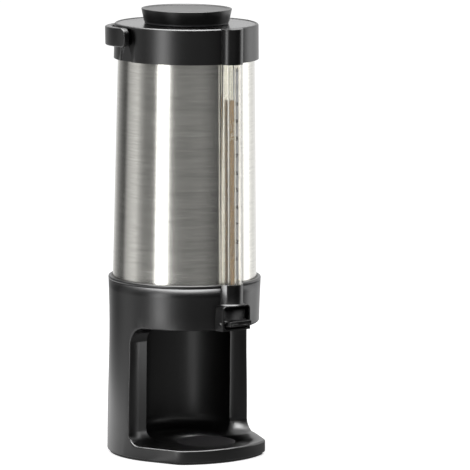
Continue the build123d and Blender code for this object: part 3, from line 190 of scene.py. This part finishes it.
class Mix:
    """The node tree of one material or of the world."""

    def __init__(self, owner):
        owner.use_nodes = True
        self.tree = owner.node_tree
        self.tree.nodes.clear()

    def feed(self, socket, value):
        """Link a socket or set its value."""
        if isinstance(value, Amount):
            value = value.socket
        if isinstance(value, bpy.types.NodeSocket):
            self.tree.links.new(value, socket)
        elif socket.type == "RGBA" and len(value) == 3:
            socket.default_value = (*value, 1)
        else:
            socket.default_value = value

    def node(self, kind, settings=None, inputs=None):
        """Add a node: its settings first, such as a ramp's grey stops, then its sockets."""
        made = self.tree.nodes.new(kind)
        for name, value in (settings or {}).items():
            if name == "stops":
                ramp = made.color_ramp.elements
                while len(ramp) < len(value):
                    ramp.new(0.5)
                for element, (place, grey) in zip(ramp, value):
                    element.position = place
                    element.color = (grey, grey, grey, 1)
            else:
                setattr(made, name, value)
        for name, value in (inputs or {}).items():
            self.feed(made.inputs[name], value)
        return made

    def amount(self, socket):
        return Amount(self, socket)

    def place(self, scale=(1, 1, 1)):
        """Object coordinates in metres, stretched by a scale."""
        coordinates = self.node("ShaderNodeTexCoord").outputs["Object"]
        return self.node("ShaderNodeMapping", None, {"Vector": coordinates, "Scale": scale}).outputs[0]

    def noise(self, scale, stretch=(1, 1, 1), detail=2.0, roughness=0.5):
        """Noise on object coordinates, about 0.5 with its grain 1 / scale metres wide."""
        made = self.node(
            "ShaderNodeTexNoise", None,
            {"Vector": self.place(stretch), "Scale": scale, "Detail": detail, "Roughness": roughness},
        )
        return self.amount(made.outputs[0])

    def blend(self, factor, first, second):
        """Mix two colours."""
        made = self.node("ShaderNodeMix", {"data_type": "RGBA"})
        factor_socket, first_colour, second_colour, mixed = 0, 6, 7, 2
        self.feed(made.inputs[factor_socket], factor)
        self.feed(made.inputs[first_colour], first)
        self.feed(made.inputs[second_colour], second)
        return made.outputs[mixed]

    def step(self, value, low, high):
        """0 below low, 1 above high and a smooth rise between them."""
        limits = {"Value": value, "From Min": low, "From Max": high}
        made = self.node("ShaderNodeMapRange", {"interpolation_type": "SMOOTHSTEP"}, limits)
        return self.amount(made.outputs[0])

    def bump(self, height, distance, strength=1.0, under=None):
        inputs = {"Height": height, "Distance": distance, "Strength": strength}
        if under is not None:
            inputs["Normal"] = under
        return self.node("ShaderNodeBump", None, inputs).outputs[0]

    def surface(self, **inputs):
        """A Principled surface as the tree's output."""
        shader = self.node("ShaderNodeBsdfPrincipled", None, inputs)
        self.node("ShaderNodeOutputMaterial", None, {"Surface": shader.outputs[0]})


def settings():
    scene = bpy.context.scene
    return scene.dispenser_finishes, scene.dispenser_gauge, scene.dispenser_studio


def material(name):
    made = bpy.data.materials.new(name)
    return made, Mix(made)


# Finishes


def moulded_plastic(name, colour, roughness, grain, depth=0.006 * MM, edge=0.5 * MM, shine=0.5):
    """Black satin moulding with a fine eroded texture and softly rounded edges."""
    made, mix = material(name)
    broad = mix.noise(18.0, detail=3.0)
    fine = mix.noise(1 / grain, detail=3.0, roughness=0.6)
    shade = mix.blend(broad, [c * 0.86 for c in colour], [c * 1.16 for c in colour])
    soft_edge = mix.node("ShaderNodeBevel", {"samples": 4}, {"Radius": edge}).outputs[0]
    mix.surface(**{
        "Base Color": shade,
        "Roughness": roughness + (fine - 0.5) * 0.14 + (broad - 0.5) * 0.06,
        "Normal": mix.bump(fine, depth, 0.8, soft_edge),
        "Specular IOR Level": shine,
    })
    return made


def brushed_steel(name, colour):
    """Steel brushed round the vessel, with lines of uneven depth."""
    roughness = 0.23
    made, mix = material(name)
    lines = mix.noise(1.0, (14.0, 14.0, 2600.0), detail=4.0, roughness=0.65)
    strokes = mix.noise(1.0, (34.0, 34.0, 620.0), detail=3.0, roughness=0.6)
    drift = mix.noise(1.0, (5.0, 5.0, 160.0), detail=2.0)
    broad = mix.noise(9.0, detail=2.0)
    wave = mix.noise(1.0, (150.0, 150.0, 420.0), detail=2.0)
    uneven = lines * 0.35 + strokes * 0.65
    shade = mix.blend(uneven, [c * 0.72 for c in colour], [min(1.0, c * 1.28) for c in colour])
    mix.surface(**{
        "Base Color": shade,
        "Metallic": 1.0,
        "Roughness": roughness + (lines - 0.5) * 0.12 + (drift - 0.5) * 0.08 + (broad - 0.5) * 0.04,
        "Anisotropic": 0.75,
        "Anisotropic Rotation": 0.25,
        "Normal": mix.bump(wave, 0.03 * MM, 0.6, mix.bump(lines, 0.006 * MM, 0.6)),
    })
    return made


def plain_steel(name, colour, roughness=0.28):
    """Turned or drawn steel with faint marks."""
    made, mix = material(name)
    marks = mix.noise(900.0, detail=3.0)
    mix.surface(**{
        "Base Color": mix.blend(marks, [c * 0.92 for c in colour], [min(1.0, c * 1.06) for c in colour]),
        "Metallic": 1.0,
        "Roughness": roughness + (marks - 0.5) * 0.14,
        "Normal": mix.bump(marks, 0.004 * MM, 0.5),
    })
    return made


def soft_rubber(name, colour):
    """Matt rubber with a faint bloom."""
    made, mix = material(name)
    bloom = mix.noise(60.0, detail=4.0)
    fine = mix.noise(2500.0, detail=2.0)
    mix.surface(**{
        "Base Color": mix.blend(bloom, colour, [c * 1.5 for c in colour]),
        "Roughness": 0.75 + (bloom - 0.5) * 0.2,
        "Normal": mix.bump(fine, 0.01 * MM, 0.5),
    })
    return made


def foam(name):
    """Foam that set in the gap between the walls."""
    made, mix = material(name)
    cells = mix.node("ShaderNodeTexVoronoi", None, {"Vector": mix.place(), "Scale": 1400.0}).outputs[0]
    shade = mix.noise(40.0, detail=3.0)
    mix.surface(**{
        "Base Color": mix.blend(shade, (0.62, 0.5, 0.27), (0.8, 0.7, 0.44)),
        "Roughness": 0.85 + (shade - 0.5) * 0.1,
        "Normal": mix.bump(cells, 0.1 * MM, 0.6),
    })
    return made


def clear_plastic(name, roughness, bend, tint=(0.97, 0.98, 0.97), clarity=1.0):
    """Clear moulding with faint flow lines, a little milky where its clarity is below 1."""
    made, mix = material(name)
    flow = mix.noise(1.0, (700.0, 700.0, 9.0), detail=2.0)
    mix.surface(**{
        "Base Color": tint,
        "Roughness": roughness + (flow - 0.5) * 0.02,
        "IOR": bend,
        "Transmission Weight": clarity,
        "Normal": mix.bump(flow, 0.004 * MM, 0.3),
    })
    return made


def tea(name, colour):
    """Tea in the tube, a little cloudy."""
    made, mix = material(name)
    cloud = mix.noise(1.0, (160.0, 160.0, 22.0), detail=3.0)
    mix.surface(**{
        "Base Color": mix.blend(cloud, [c * 0.82 for c in colour], [min(1.0, c * 1.2) for c in colour]),
        "Roughness": 0.12 + (cloud - 0.5) * 0.05,
        "IOR": 1.33,
        "Transmission Weight": 0.3,
    })
    return made


def froth(name):
    """Bubbles that cling to the inside of the tube."""
    made, mix = material(name)
    film = mix.noise(1500.0, detail=2.0)
    mix.surface(**{
        "Base Color": mix.blend(film, (0.9, 0.78, 0.52), (1.0, 0.97, 0.9)),
        "Roughness": 0.08 + film * 0.08,
        "IOR": 1.3,
        "Transmission Weight": 0.35,
    })
    return made


def printed_strip(name, colour):
    """Strip of printed film, a little uneven in tone."""
    made, mix = material(name)
    tone = mix.noise(1.0, (60.0, 60.0, 35.0), detail=4.0)
    mix.surface(**{
        "Base Color": mix.blend(tone, [c * 0.86 for c in colour], [min(1.0, c * 1.14) for c in colour]),
        "Roughness": 0.38 + (tone - 0.5) * 0.1,
    })
    return made


def ink(name):
    """Dark printing ink, thin at its edges."""
    made, mix = material(name)
    tone = mix.noise(1800.0, detail=2.0)
    mix.surface(**{
        "Base Color": mix.blend(tone, (0.008, 0.009, 0.014), (0.03, 0.032, 0.045)),
        "Roughness": 0.5 + (tone - 0.5) * 0.1,
    })
    return made


# Mesh helpers


def finish_piece(name, bm, body, finish, replaced=()):
    """Turn a bmesh into a piece that rides on a body."""
    smooth_angle = 32
    mesh = bpy.data.meshes.new(name)
    bm.to_mesh(mesh)
    bm.free()
    mesh.shade_smooth()
    mesh.set_sharp_from_angle(angle=radians(smooth_angle))
    mesh.materials.append(finish)
    made = bpy.data.objects.new(name, mesh)
    bpy.context.scene.collection.objects.link(made)
    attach(made, body)
    if replaced:
        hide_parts(*replaced)
    return made


def merged_copy(node):
    """A bmesh of a CAD node whose loose triangles are joined."""
    bm = bmesh.new()
    bm.from_mesh(NODES[node].data)
    bmesh.ops.remove_doubles(bm, verts=bm.verts, dist=0.002 * MM)
    return bm


def lathe(points, steps):
    """Spin a row of (radius, height) points about the vertical axis."""
    bm = bmesh.new()
    verts = [bm.verts.new((radius, 0, height)) for radius, height in points]
    for first, second in zip(verts, verts[1:]):
        bm.edges.new((first, second))
    bmesh.ops.spin(
        bm, geom=bm.verts[:] + bm.edges[:], cent=(0, 0, 0), axis=(0, 0, 1), dvec=(0, 0, 0),
        angle=2 * pi, steps=steps, use_merge=True, use_duplicate=False,
    )
    bmesh.ops.remove_doubles(bm, verts=bm.verts, dist=0.001 * MM)
    bmesh.ops.recalc_face_normals(bm, faces=bm.faces)
    return bm


def rounded(corner, before, after, radius, steps=4):
    """Points of a rounded corner between two neighbours of an outline, as (radius, height) pairs."""
    corner, before, after = Vector(corner), Vector(before), Vector(after)
    start = corner + (before - corner).normalized() * radius
    end = corner + (after - corner).normalized() * radius
    points = []
    for step in range(steps + 1):
        t = step / steps
        points.append(tuple((1 - t) ** 2 * start + 2 * t * (1 - t) * corner + t * t * end))
    return points


def lean(bm, foot, head):
    """Shear a piece that stands on foot.z so that its axis passes through both points."""
    rise = head.z - foot.z
    for vert in bm.verts:
        share = (vert.co.z - foot.z) / rise
        vert.co.x += foot.x + (head.x - foot.x) * share
        vert.co.y += foot.y + (head.y - foot.y) * share


# Pieces


class DISPENSER_OT_vessel(bpy.types.Operator):
    """Make the brushed steel vessel's outer skin"""

    bl_idname = "dispenser.vessel"
    bl_label = "Steel vessel"

    def execute(self, context):
        finishes, _, _ = settings()
        low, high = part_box("outer_shell")
        foot = high.x
        wall = 0.8 * MM
        lip = 76.0 * MM
        top = self.top_radius(high)
        bottom = rounded((foot, low.z), (lip, low.z), (top, high.z), 3.0 * MM)
        inner = rounded((foot - wall, low.z + wall), (top - wall, high.z), (lip, low.z + wall), 2.2 * MM)
        points = [(lip, low.z), *bottom]
        rows = 40
        for row in range(1, rows + 1):
            share = row / rows
            height = low.z + (high.z - low.z) * share
            points.append((foot + (top - foot) * share, height))
        points += [(top - wall, high.z), *inner, (lip, low.z + wall), (lip, low.z)]
        steel = brushed_steel("brushed_vessel", finishes.steel)
        bm = lathe(points, 224)
        finish_piece("vessel_skin", bm, "root", steel, ["outer_shell"])
        return {"FINISHED"}

    def top_radius(self, high):
        """Radius of the shell's top edge, read from its highest points."""
        near = 0.1 * MM
        shell = NODES["outer_shell"].data.vertices
        return max(v.co.xy.length for v in shell if v.co.z > high.z - near)


class DISPENSER_OT_mouldings(bpy.types.Operator):
    """Make the black mouldings: stand, collar, handle, gauge's ends, tap and cup disc"""

    bl_idname = "dispenser.mouldings"
    bl_label = "Black mouldings"

    def execute(self, context):
        finishes, _, _ = settings()
        colour, grain = finishes.moulding, finishes.texture_size
        # Painted sheen: the cup disc takes the mouldings' colour fourteen times over, standing in for the
        # light that its glossy flat top mirrors.
        painted_sheen_gain = 14
        painted_sheen_disc_colour = [c * painted_sheen_gain for c in colour]
        black = moulded_plastic("black_moulding", colour, 0.32, grain, depth=0.012 * MM, shine=0.62)
        grainy = moulded_plastic(
            "black_grained_moulding", colour, 0.33, grain * 2, depth=0.04 * MM, edge=0.6 * MM, shine=0.65,
        )
        smooth = moulded_plastic(
            "black_smooth_moulding", colour, 0.2, grain, depth=0.003 * MM, edge=0.4 * MM,
        )
        dish = moulded_plastic("cup_dish_painted_sheen", painted_sheen_disc_colour, 0.3, grain)
        small = moulded_plastic("black_small_moulding", colour, 0.28, grain * 0.7)
        lever = moulded_plastic("black_lever_moulding", colour, 0.26, grain * 0.7, edge=0.7 * MM)
        for node, body, finish, slot in (
            ("stand", "root", black, "black_moulding"),
            ("collar", "root", grainy, "black_moulding"),
            ("collar_top_plate", "root", smooth, "black_moulding"),
            ("handle", "handle", grainy, "black_handle"),
            ("gauge_head", "root", small, "black_moulding"),
            ("gauge_neck", "root", small, "black_moulding"),
            ("tap_housing", "root", small, "black_moulding"),
            ("tap_lever", "lever", lever, "lever_plastic"),
            ("cup_disc", "root", dish, "dark_disc"),
        ):
            finish_piece(node + "_skin", merged_copy(node), body, finish, [node])
        return {"FINISHED"}


class DISPENSER_OT_lid(bpy.types.Operator):
    """Make the lid's dished cap"""

    bl_idname = "dispenser.lid"
    bl_label = "Lid"

    def execute(self, context):
        finishes, _, _ = settings()
        low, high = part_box("lid_cap")
        edge = high.x
        foot = edge - 3.4 * MM
        wall = 2.5 * MM
        rim = 3.0 * MM
        dish = 1.2 * MM
        rim_inside = (edge - rim, high.z)
        dish_edge = (edge - rim - wall, high.z - dish)
        points = [(0, high.z - dish)]
        points += rounded(dish_edge, (0, high.z - dish), rim_inside, 1.4 * MM)
        points += rounded(rim_inside, dish_edge, (edge, high.z), 0.8 * MM)
        points += rounded((edge, high.z), rim_inside, (foot, low.z), 1.0 * MM, 6)
        points += rounded((foot, low.z), (edge, high.z), (foot - wall, low.z), 0.6 * MM)
        points += [(foot - wall, low.z), (foot - wall, high.z - dish - wall), (0, high.z - dish - wall)]
        colour = [c * 1.1 for c in finishes.moulding]
        finish = moulded_plastic("black_lid", colour, 0.33, finishes.texture_size)
        finish_piece("lid_cap_skin", lathe(points, 160), "lid", finish, ["lid_cap"])
        return {"FINISHED"}


class DISPENSER_OT_gauge(bpy.types.Operator):
    """Make the sight gauge: tube, drink, bubbles, cover, strip and its marks"""

    bl_idname = "dispenser.gauge"
    bl_label = "Sight gauge"

    def execute(self, context):
        finishes, gauge, _ = settings()
        low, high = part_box("gauge_tube")
        self.radius = high.x
        self.bore = 3.2 * MM
        self.foot = Vector((0, low.y + self.radius, low.z))
        self.head = Vector((0, high.y - self.radius, high.z))
        glass = clear_plastic("gauge_glass", 0.015, 1.3)
        shield = clear_plastic("gauge_shield", 0.03, 1.33, (0.98, 0.96, 0.91), 0.95)
        self.tube(glass)
        self.drink(gauge, tea("tea", finishes.tea))
        self.bubbles(gauge, froth("froth"))
        cover = merged_copy("gauge_cover")
        finish_piece("gauge_cover_skin", cover, "root", shield, ["gauge_cover"])
        film = printed_strip("printed_strip", finishes.strip)
        scale = merged_copy("gauge_scale")
        finish_piece("gauge_scale_skin", scale, "root", film, ["gauge_scale"])
        self.marks(gauge, ink("scale_ink"))
        return {"FINISHED"}

    def tube(self, glass):
        """The clear tube, with softened ends."""
        edge = 0.4 * MM
        outer, bore, bottom, top = self.radius, self.bore, self.foot.z, self.head.z
        points = [(bore, bottom), (outer - edge, bottom), (outer, bottom + edge)]
        points += [(outer, top - edge), (outer - edge, top), (bore, top), (bore, bottom)]
        bm = lathe(points, 48)
        lean(bm, self.foot, self.head)
        finish_piece("gauge_tube_skin", bm, "root", glass, ["gauge_tube"])

    def drink(self, gauge, finish):
        """Tea up to its level, with a dished top."""
        gap = 0.45 * MM
        meniscus = 0.7 * MM
        radius, bottom, top = self.bore - gap, self.foot.z, gauge.tea_level
        points = [(0, bottom), (radius, bottom), (radius, top), (radius * 0.8, top - meniscus * 0.6),
                  (radius * 0.45, top - meniscus * 0.92), (0, top - meniscus)]
        bm = lathe(points, 40)
        lean(bm, self.foot, self.head)
        finish_piece("gauge_drink", bm, "root", finish)

    def bubbles(self, gauge, finish):
        """A patch of bubbles on the tube's wall, under the tea's level."""
        bm = bmesh.new()
        patch_top = gauge.tea_level - 24.0 * MM
        patch_height = 27.0 * MM
        golden_share = 0.618
        smallest, spread = 0.55 * MM, 1.0 * MM
        other_seed = Vector((7.3, 0, 0))
        for count in range(gauge.bubbles):
            seed = Vector((count * 3.71, count * 1.93, 0.5))
            size = smallest + spread * abs(noise.noise(seed))
            turn = 4 * pi * noise.noise(seed + other_seed)
            height = patch_top - patch_height * ((count * golden_share) % 1.0)
            reach = self.bore - size
            share = (height - self.foot.z) / (self.head.z - self.foot.z)
            centre = self.foot.lerp(self.head, share) + Vector((cos(turn), sin(turn), 0)) * reach
            bmesh.ops.create_icosphere(bm, subdivisions=2, radius=size, matrix=Matrix.Translation(centre))
        finish_piece("gauge_bubbles", bm, "root", finish)

    def marks(self, gauge, finish):
        """Ticks and numbers just proud of the strip's outward face."""
        strip = NODES["gauge_scale"].data.vertices
        low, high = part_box("gauge_scale")
        foot = [v.co for v in strip if v.co.z < low.z + MM]
        head = [v.co for v in strip if v.co.z > high.z - MM]
        outer = min(foot, key=lambda co: co.y)
        inner = min(foot, key=lambda co: co.x)
        along = (Vector(outer.xy) - Vector(inner.xy)).normalized()
        face = Vector((-abs(along.y), -abs(along.x)))
        middle, top = (sum(ends, Vector()) / len(ends) for ends in (foot, head))
        slope = (top - middle) / (top.z - middle.z)
        half_strip = 0.4 * MM
        thickness = 0.06 * MM
        proud = half_strip + thickness / 2
        across = Vector((along.x, along.y, 0))
        outward = Vector((face.x, face.y, 0))
        parts = 4
        long_width, long_height, long_aside = 1.1 * MM, 0.6 * MM, 2.2 * MM
        short_width, short_height, short_aside = 0.8 * MM, 0.4 * MM, 2.3 * MM
        bm = bmesh.new()
        for count in range(gauge.marks):
            height = gauge.first_mark + count * gauge.mark_pitch
            base = middle + slope * (height - middle.z) + outward * proud
            centre = base - across * long_aside
            self.print_mark(bm, centre, across, outward, (long_width, thickness, long_height))
            self.print_number(bm, str(count + 1), gauge.number_size, base, across, outward, thickness)
            for part in range(1, parts):
                step = slope * gauge.mark_pitch * part / parts
                if height + step.z < high.z - MM:
                    centre = base + step - across * short_aside
                    self.print_mark(bm, centre, across, outward, (short_width, thickness, short_height))
        bmesh.ops.recalc_face_normals(bm, faces=bm.faces)
        finish_piece("gauge_marks", bm, "root", finish)

    def print_mark(self, bm, centre, across, outward, size):
        """A short line on the strip."""
        turn = Matrix((across, outward, (0, 0, 1))).transposed().to_4x4()
        turn.translation = centre
        bmesh.ops.create_cube(bm, size=1, matrix=turn @ Matrix.Diagonal((*size, 1)))

    def print_number(self, bm, text, size, base, across, outward, thickness):
        """A number on the strip, made from the built-in letters, with two digits squeezed."""
        boldness = 0.05
        aside = 0.5 * MM
        squeeze = 1.0 if len(text) == 1 else 0.6
        curve = bpy.data.curves.new("number", "FONT")
        curve.body = text
        curve.size = size
        curve.offset = boldness * size
        curve.extrude = thickness / 2
        curve.align_x = "CENTER"
        curve.align_y = "CENTER"
        holder = bpy.data.objects.new("number", curve)
        flat = bpy.data.meshes.new_from_object(holder)
        bpy.data.objects.remove(holder)
        turn = Matrix((across, (0, 0, 1), outward)).transposed().to_4x4()
        turn.translation = base + across * aside
        flat.transform(turn @ Matrix.Diagonal((squeeze, 1, 1, 1)))
        bm.from_mesh(flat)
        bpy.data.meshes.remove(flat)


class DISPENSER_OT_inner_parts(bpy.types.Operator):
    """Give every CAD part that stays its own finish"""

    bl_idname = "dispenser.inner_parts"
    bl_label = "Inner parts"

    def execute(self, context):
        inner = moulded_plastic("inner_plastic", (0.01, 0.01, 0.011), 0.5, 0.4 * MM)
        steel = plain_steel("drawn_steel", (0.6, 0.6, 0.59))
        bright = plain_steel("bright_steel", (0.62, 0.62, 0.61), 0.2)
        rubber = soft_rubber("black_rubber", (0.02, 0.02, 0.02))
        for finish, nodes in (
            (foam("set_foam"), ("foam_jacket",)),
            (inner, ("base_plate", "lid_plug", "core_nut", "outlet_nut", "tap_body", "tap_gland",
                     "spout_nozzle", "gauge_fitting", "valve_plunger")),
            (steel, ("shell_floor", "inner_liner", "chill_core", "outlet_fitting")),
            (bright, ("base_screws", "tap_screws", "handle_pins", "lever_pin")),
            (rubber, ("foot_pad", "liner_gasket", "lid_seal", "outlet_gasket", "gauge_seal",
                      "gauge_plug", "valve_disc")),
        ):
            for node in nodes:
                for slot in NODES[node].material_slots:
                    slot.material = finish
        self.spring(bright)
        return {"FINISHED"}

    def spring(self, finish):
        """The coil spring on a mesh of its own; the real spring shortens towards its fixed end as the
        valve's rod is pulled.
        """
        coil = merged_copy("return_spring")
        made = finish_piece(
            "return_spring_skin", coil, "root", finish, ["return_spring"],
        )
        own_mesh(made)


class DISPENSER_OT_studio(bpy.types.Operator):
    """Make the floor, the world, the lamps and the camera"""

    bl_idname = "dispenser.studio"
    bl_label = "Studio"

    def execute(self, context):
        _, _, studio = settings()
        scene = context.scene
        scene.view_settings.view_transform = "Standard"
        turn, tilt = studio.azimuth, studio.elevation
        back = Vector((sin(turn) * cos(tilt), -cos(turn) * cos(tilt), sin(tilt)))
        right = Vector((cos(turn), sin(turn), 0))
        up = back.cross(right)
        self.camera(scene, studio, back, right, up)
        self.floor(right)
        self.world(scene, right)
        self.lamps(scene, studio, right)
        return {"FINISHED"}

    def camera(self, scene, studio, back, right, up):
        """Camera with a slight roll, aimed so that the dispenser stands left of the middle."""
        aside = 60.12 * MM
        above = 4.08 * MM
        lean_right = right * cos(studio.roll) + up * sin(studio.roll)
        lean_up = up * cos(studio.roll) - right * sin(studio.roll)
        axis_point = Vector((0, 0, studio.aim_height))
        place = axis_point + back * studio.distance
        aim = axis_point + lean_right * aside + lean_up * above
        away = (place - aim).normalized()
        side = lean_up.cross(away).normalized()
        top = away.cross(side)
        data = bpy.data.cameras.new("camera")
        data.lens = studio.lens
        data.sensor_width = 36.0
        data.clip_start = 0.1
        data.clip_end = 60.0
        camera = bpy.data.objects.new("camera", data)
        camera.matrix_world = Matrix((
            (side.x, top.x, away.x, place.x),
            (side.y, top.y, away.y, place.y),
            (side.z, top.z, away.z, place.z),
            (0, 0, 0, 1),
        ))
        scene.collection.objects.link(camera)
        scene.camera = camera

    def floor(self, right):
        """A wide pale floor that keeps the shadow, and has lit patches for what mirrors it."""
        gap = 0.2 * MM
        patch_edge, patch_end = 0.45, 0.8
        left_glow, right_glow, streak_glow = 1.6, 0.3, 3.0
        left_end, right_start = -0.3, 0.1
        start_slope, stop_slope = 0.6, 0.24
        soft = 0.03
        bm = bmesh.new()
        bmesh.ops.create_circle(bm, cap_ends=True, segments=64, radius=25.0)
        bmesh.ops.translate(bm, verts=bm.verts, vec=(0, 0, -gap))
        mesh = bpy.data.meshes.new("floor")
        bm.to_mesh(mesh)
        bm.free()
        made, mix = material("pale_floor")
        tone = mix.noise(3.0, detail=2.0)
        matt = mix.node("ShaderNodeBsdfDiffuse", None, {
            "Color": mix.blend(tone, (0.79, 0.79, 0.79), (0.83, 0.83, 0.83)),
        }).outputs[0]
        glow = mix.node("ShaderNodeEmission", None, {"Color": (1, 1, 1), "Strength": 0.62}).outputs[0]
        lit = mix.node("ShaderNodeAddShader")
        mix.feed(lit.inputs[0], matt)
        mix.feed(lit.inputs[1], glow)
        ray = mix.node("ShaderNodeLightPath").outputs
        clear = mix.node("ShaderNodeBsdfTransparent").outputs[0]
        seen = mix.node("ShaderNodeMixShader", None, {0: ray["Is Camera Ray"]})
        mix.feed(seen.inputs[1], matt)
        mix.feed(seen.inputs[2], lit.outputs[0])
        parts = mix.node("ShaderNodeSeparateXYZ", None, {"Vector": mix.place()}).outputs
        x, y = mix.amount(parts[0]), mix.amount(parts[1])
        across = x * right.x + y * right.y
        front = x * right.y - y * right.x
        beyond = mix.step((x * x + y * y) ** 0.5, patch_edge, patch_end)
        sheen = mix.blend(mix.step(across, left_end, right_start), [left_glow] * 3, [right_glow] * 3)
        streak_start = mix.step(across + front * start_slope, 0, soft)
        streak_stop = mix.step((across + front * stop_slope) * -1, 0, soft)
        sheen = mix.blend(streak_start * streak_stop, sheen, [streak_glow] * 3)
        patch = mix.node("ShaderNodeEmission", None, {"Color": sheen, "Strength": 1.0}).outputs[0]
        mirrored = mix.node("ShaderNodeMixShader", None, {0: beyond})
        mix.feed(mirrored.inputs[1], patch)
        mix.feed(mirrored.inputs[2], clear)
        glossy = mix.node("ShaderNodeMixShader", None, {0: ray["Is Glossy Ray"]})
        mix.feed(glossy.inputs[1], seen.outputs[0])
        mix.feed(glossy.inputs[2], mirrored.outputs[0])
        whole = mix.node("ShaderNodeMixShader", None, {0: ray["Is Transmission Ray"]})
        mix.feed(whole.inputs[1], glossy.outputs[0])
        mix.feed(whole.inputs[2], clear)
        mix.node("ShaderNodeOutputMaterial", None, {"Surface": whole.outputs[0]})
        mesh.materials.append(made)
        floor = bpy.data.objects.new("floor", mesh)
        bpy.context.scene.collection.objects.link(floor)

    def world(self, scene, right):
        """White all round to look at, with the studio's screens and dark gaps for what mirrors it."""
        ceiling, top_lamp, ground = 1.4, 15.0, 0.9
        world = bpy.data.worlds.new("studio")
        scene.world = world
        mix = Mix(world)
        direction = mix.node("ShaderNodeTexCoord").outputs["Generated"]
        parts = mix.node("ShaderNodeSeparateXYZ", None, {"Vector": direction}).outputs
        x, y, z = (mix.amount(part) for part in parts)
        towards = Vector((right.y, -right.x))
        across = x * right.x + y * right.y
        front = x * towards.x + y * towards.y
        angle = mix.node("ShaderNodeMath", {"operation": "ARCTAN2"})
        mix.feed(angle.inputs[0], across)
        mix.feed(angle.inputs[1], front)
        turn = mix.amount(angle.outputs[0]) / (2 * pi) + 0.5
        screens = self.band_light(mix, turn)
        for height, start, end, brightness in (
            (z, 0.5, 0.7, ceiling),
            (z, 0.76, 0.88, top_lamp),
            (z * -1, 0.2, 0.45, ground),
        ):
            screens = mix.blend(mix.step(height, start, end), screens, [brightness] * 3)
        ray = mix.node("ShaderNodeLightPath").outputs
        mirrored = mix.node("ShaderNodeBackground", None, {"Color": screens, "Strength": 1.0})
        plain = mix.node("ShaderNodeBackground", None, {"Color": (1, 1, 1), "Strength": 0.55})
        white = mix.node("ShaderNodeBackground", None, {"Color": (1, 1, 1), "Strength": 1.0})
        first = mix.node("ShaderNodeMixShader", None, {0: ray["Is Glossy Ray"]})
        mix.feed(first.inputs[1], plain.outputs[0])
        mix.feed(first.inputs[2], mirrored.outputs[0])
        shows = mix.amount(ray["Is Camera Ray"]) + mix.amount(ray["Is Transmission Ray"])
        second = mix.node("ShaderNodeMixShader", None, {0: shows})
        mix.feed(second.inputs[1], first.outputs[0])
        mix.feed(second.inputs[2], white.outputs[0])
        mix.node("ShaderNodeOutputWorld", None, {"Surface": second.outputs[0]})

    def band_light(self, mix, turn):
        """Brightness of the studio's screens, by the turn round the dispenser."""
        brightest = max(value for _, value in SCREENS)
        stops = [((place + 180) / 360, value / brightest) for place, value in SCREENS]
        ramp = mix.node("ShaderNodeValToRGB", {"stops": stops}, {"Fac": turn})
        scale = {"Vector": ramp.outputs[0], "Scale": brightest}
        return mix.node("ShaderNodeVectorMath", {"operation": "SCALE"}, scale).outputs[0]

    def lamps(self, scene, studio, right):
        """One broad lamp from the camera's left, one from its right and one above."""
        towards = Vector((right.y, -right.x, 0))
        up = Vector((0, 0, 1))
        middle = Vector((0, 0, 0.25))
        for name, spot, size, power in (
            ("key_lamp", towards * 1.4 - right * 1.3 + up * 1.1, 1.0, studio.key),
            ("fill_lamp", towards * 0.7 + right * 1.7 + up * 0.9, 1.2, studio.fill),
            ("top_lamp", towards * -0.3 + up * 2.0, 1.4, studio.fill),
        ):
            data = bpy.data.lights.new(name, "AREA")
            data.shape = "SQUARE"
            data.size = size
            data.energy = power
            lamp = bpy.data.objects.new(name, data)
            lamp.location = spot
            lamp.rotation_mode = "QUATERNION"
            lamp.rotation_quaternion = (middle - spot).to_track_quat("-Z", "Y")
            lamp.visible_glossy = False
            scene.collection.objects.link(lamp)


class DISPENSER_PT_panel(bpy.types.Panel):
    bl_label = "Dispenser"
    bl_idname = "DISPENSER_PT_panel"
    bl_space_type = "VIEW_3D"
    bl_region_type = "UI"
    bl_category = "Dispenser"

    def draw(self, context):
        for group in settings():
            for name in group.bl_rna.properties.keys():
                if name not in ("rna_type", "name"):
                    self.layout.prop(group, name)
        for operator in OPERATORS:
            self.layout.operator(operator.bl_idname)


GROUPS = (DispenserFinishes, DispenserGauge, DispenserStudio)
OPERATORS = (
    DISPENSER_OT_vessel,
    DISPENSER_OT_mouldings,
    DISPENSER_OT_lid,
    DISPENSER_OT_gauge,
    DISPENSER_OT_inner_parts,
    DISPENSER_OT_studio,
)


def register():
    for made in (*GROUPS, *OPERATORS, DISPENSER_PT_panel):
        bpy.utils.register_class(made)
    bpy.types.Scene.dispenser_finishes = bpy.props.PointerProperty(type=DispenserFinishes)
    bpy.types.Scene.dispenser_gauge = bpy.props.PointerProperty(type=DispenserGauge)
    bpy.types.Scene.dispenser_studio = bpy.props.PointerProperty(type=DispenserStudio)


def unregister():
    del bpy.types.Scene.dispenser_studio
    del bpy.types.Scene.dispenser_gauge
    del bpy.types.Scene.dispenser_finishes
    for made in reversed((*GROUPS, *OPERATORS, DISPENSER_PT_panel)):
        bpy.utils.unregister_class(made)


def main():
    register()
    bpy.ops.dispenser.vessel()
    bpy.ops.dispenser.mouldings()
    bpy.ops.dispenser.lid()
    bpy.ops.dispenser.gauge()
    bpy.ops.dispenser.inner_parts()
    bpy.ops.dispenser.studio()


if __name__ == "__main__":
    main()
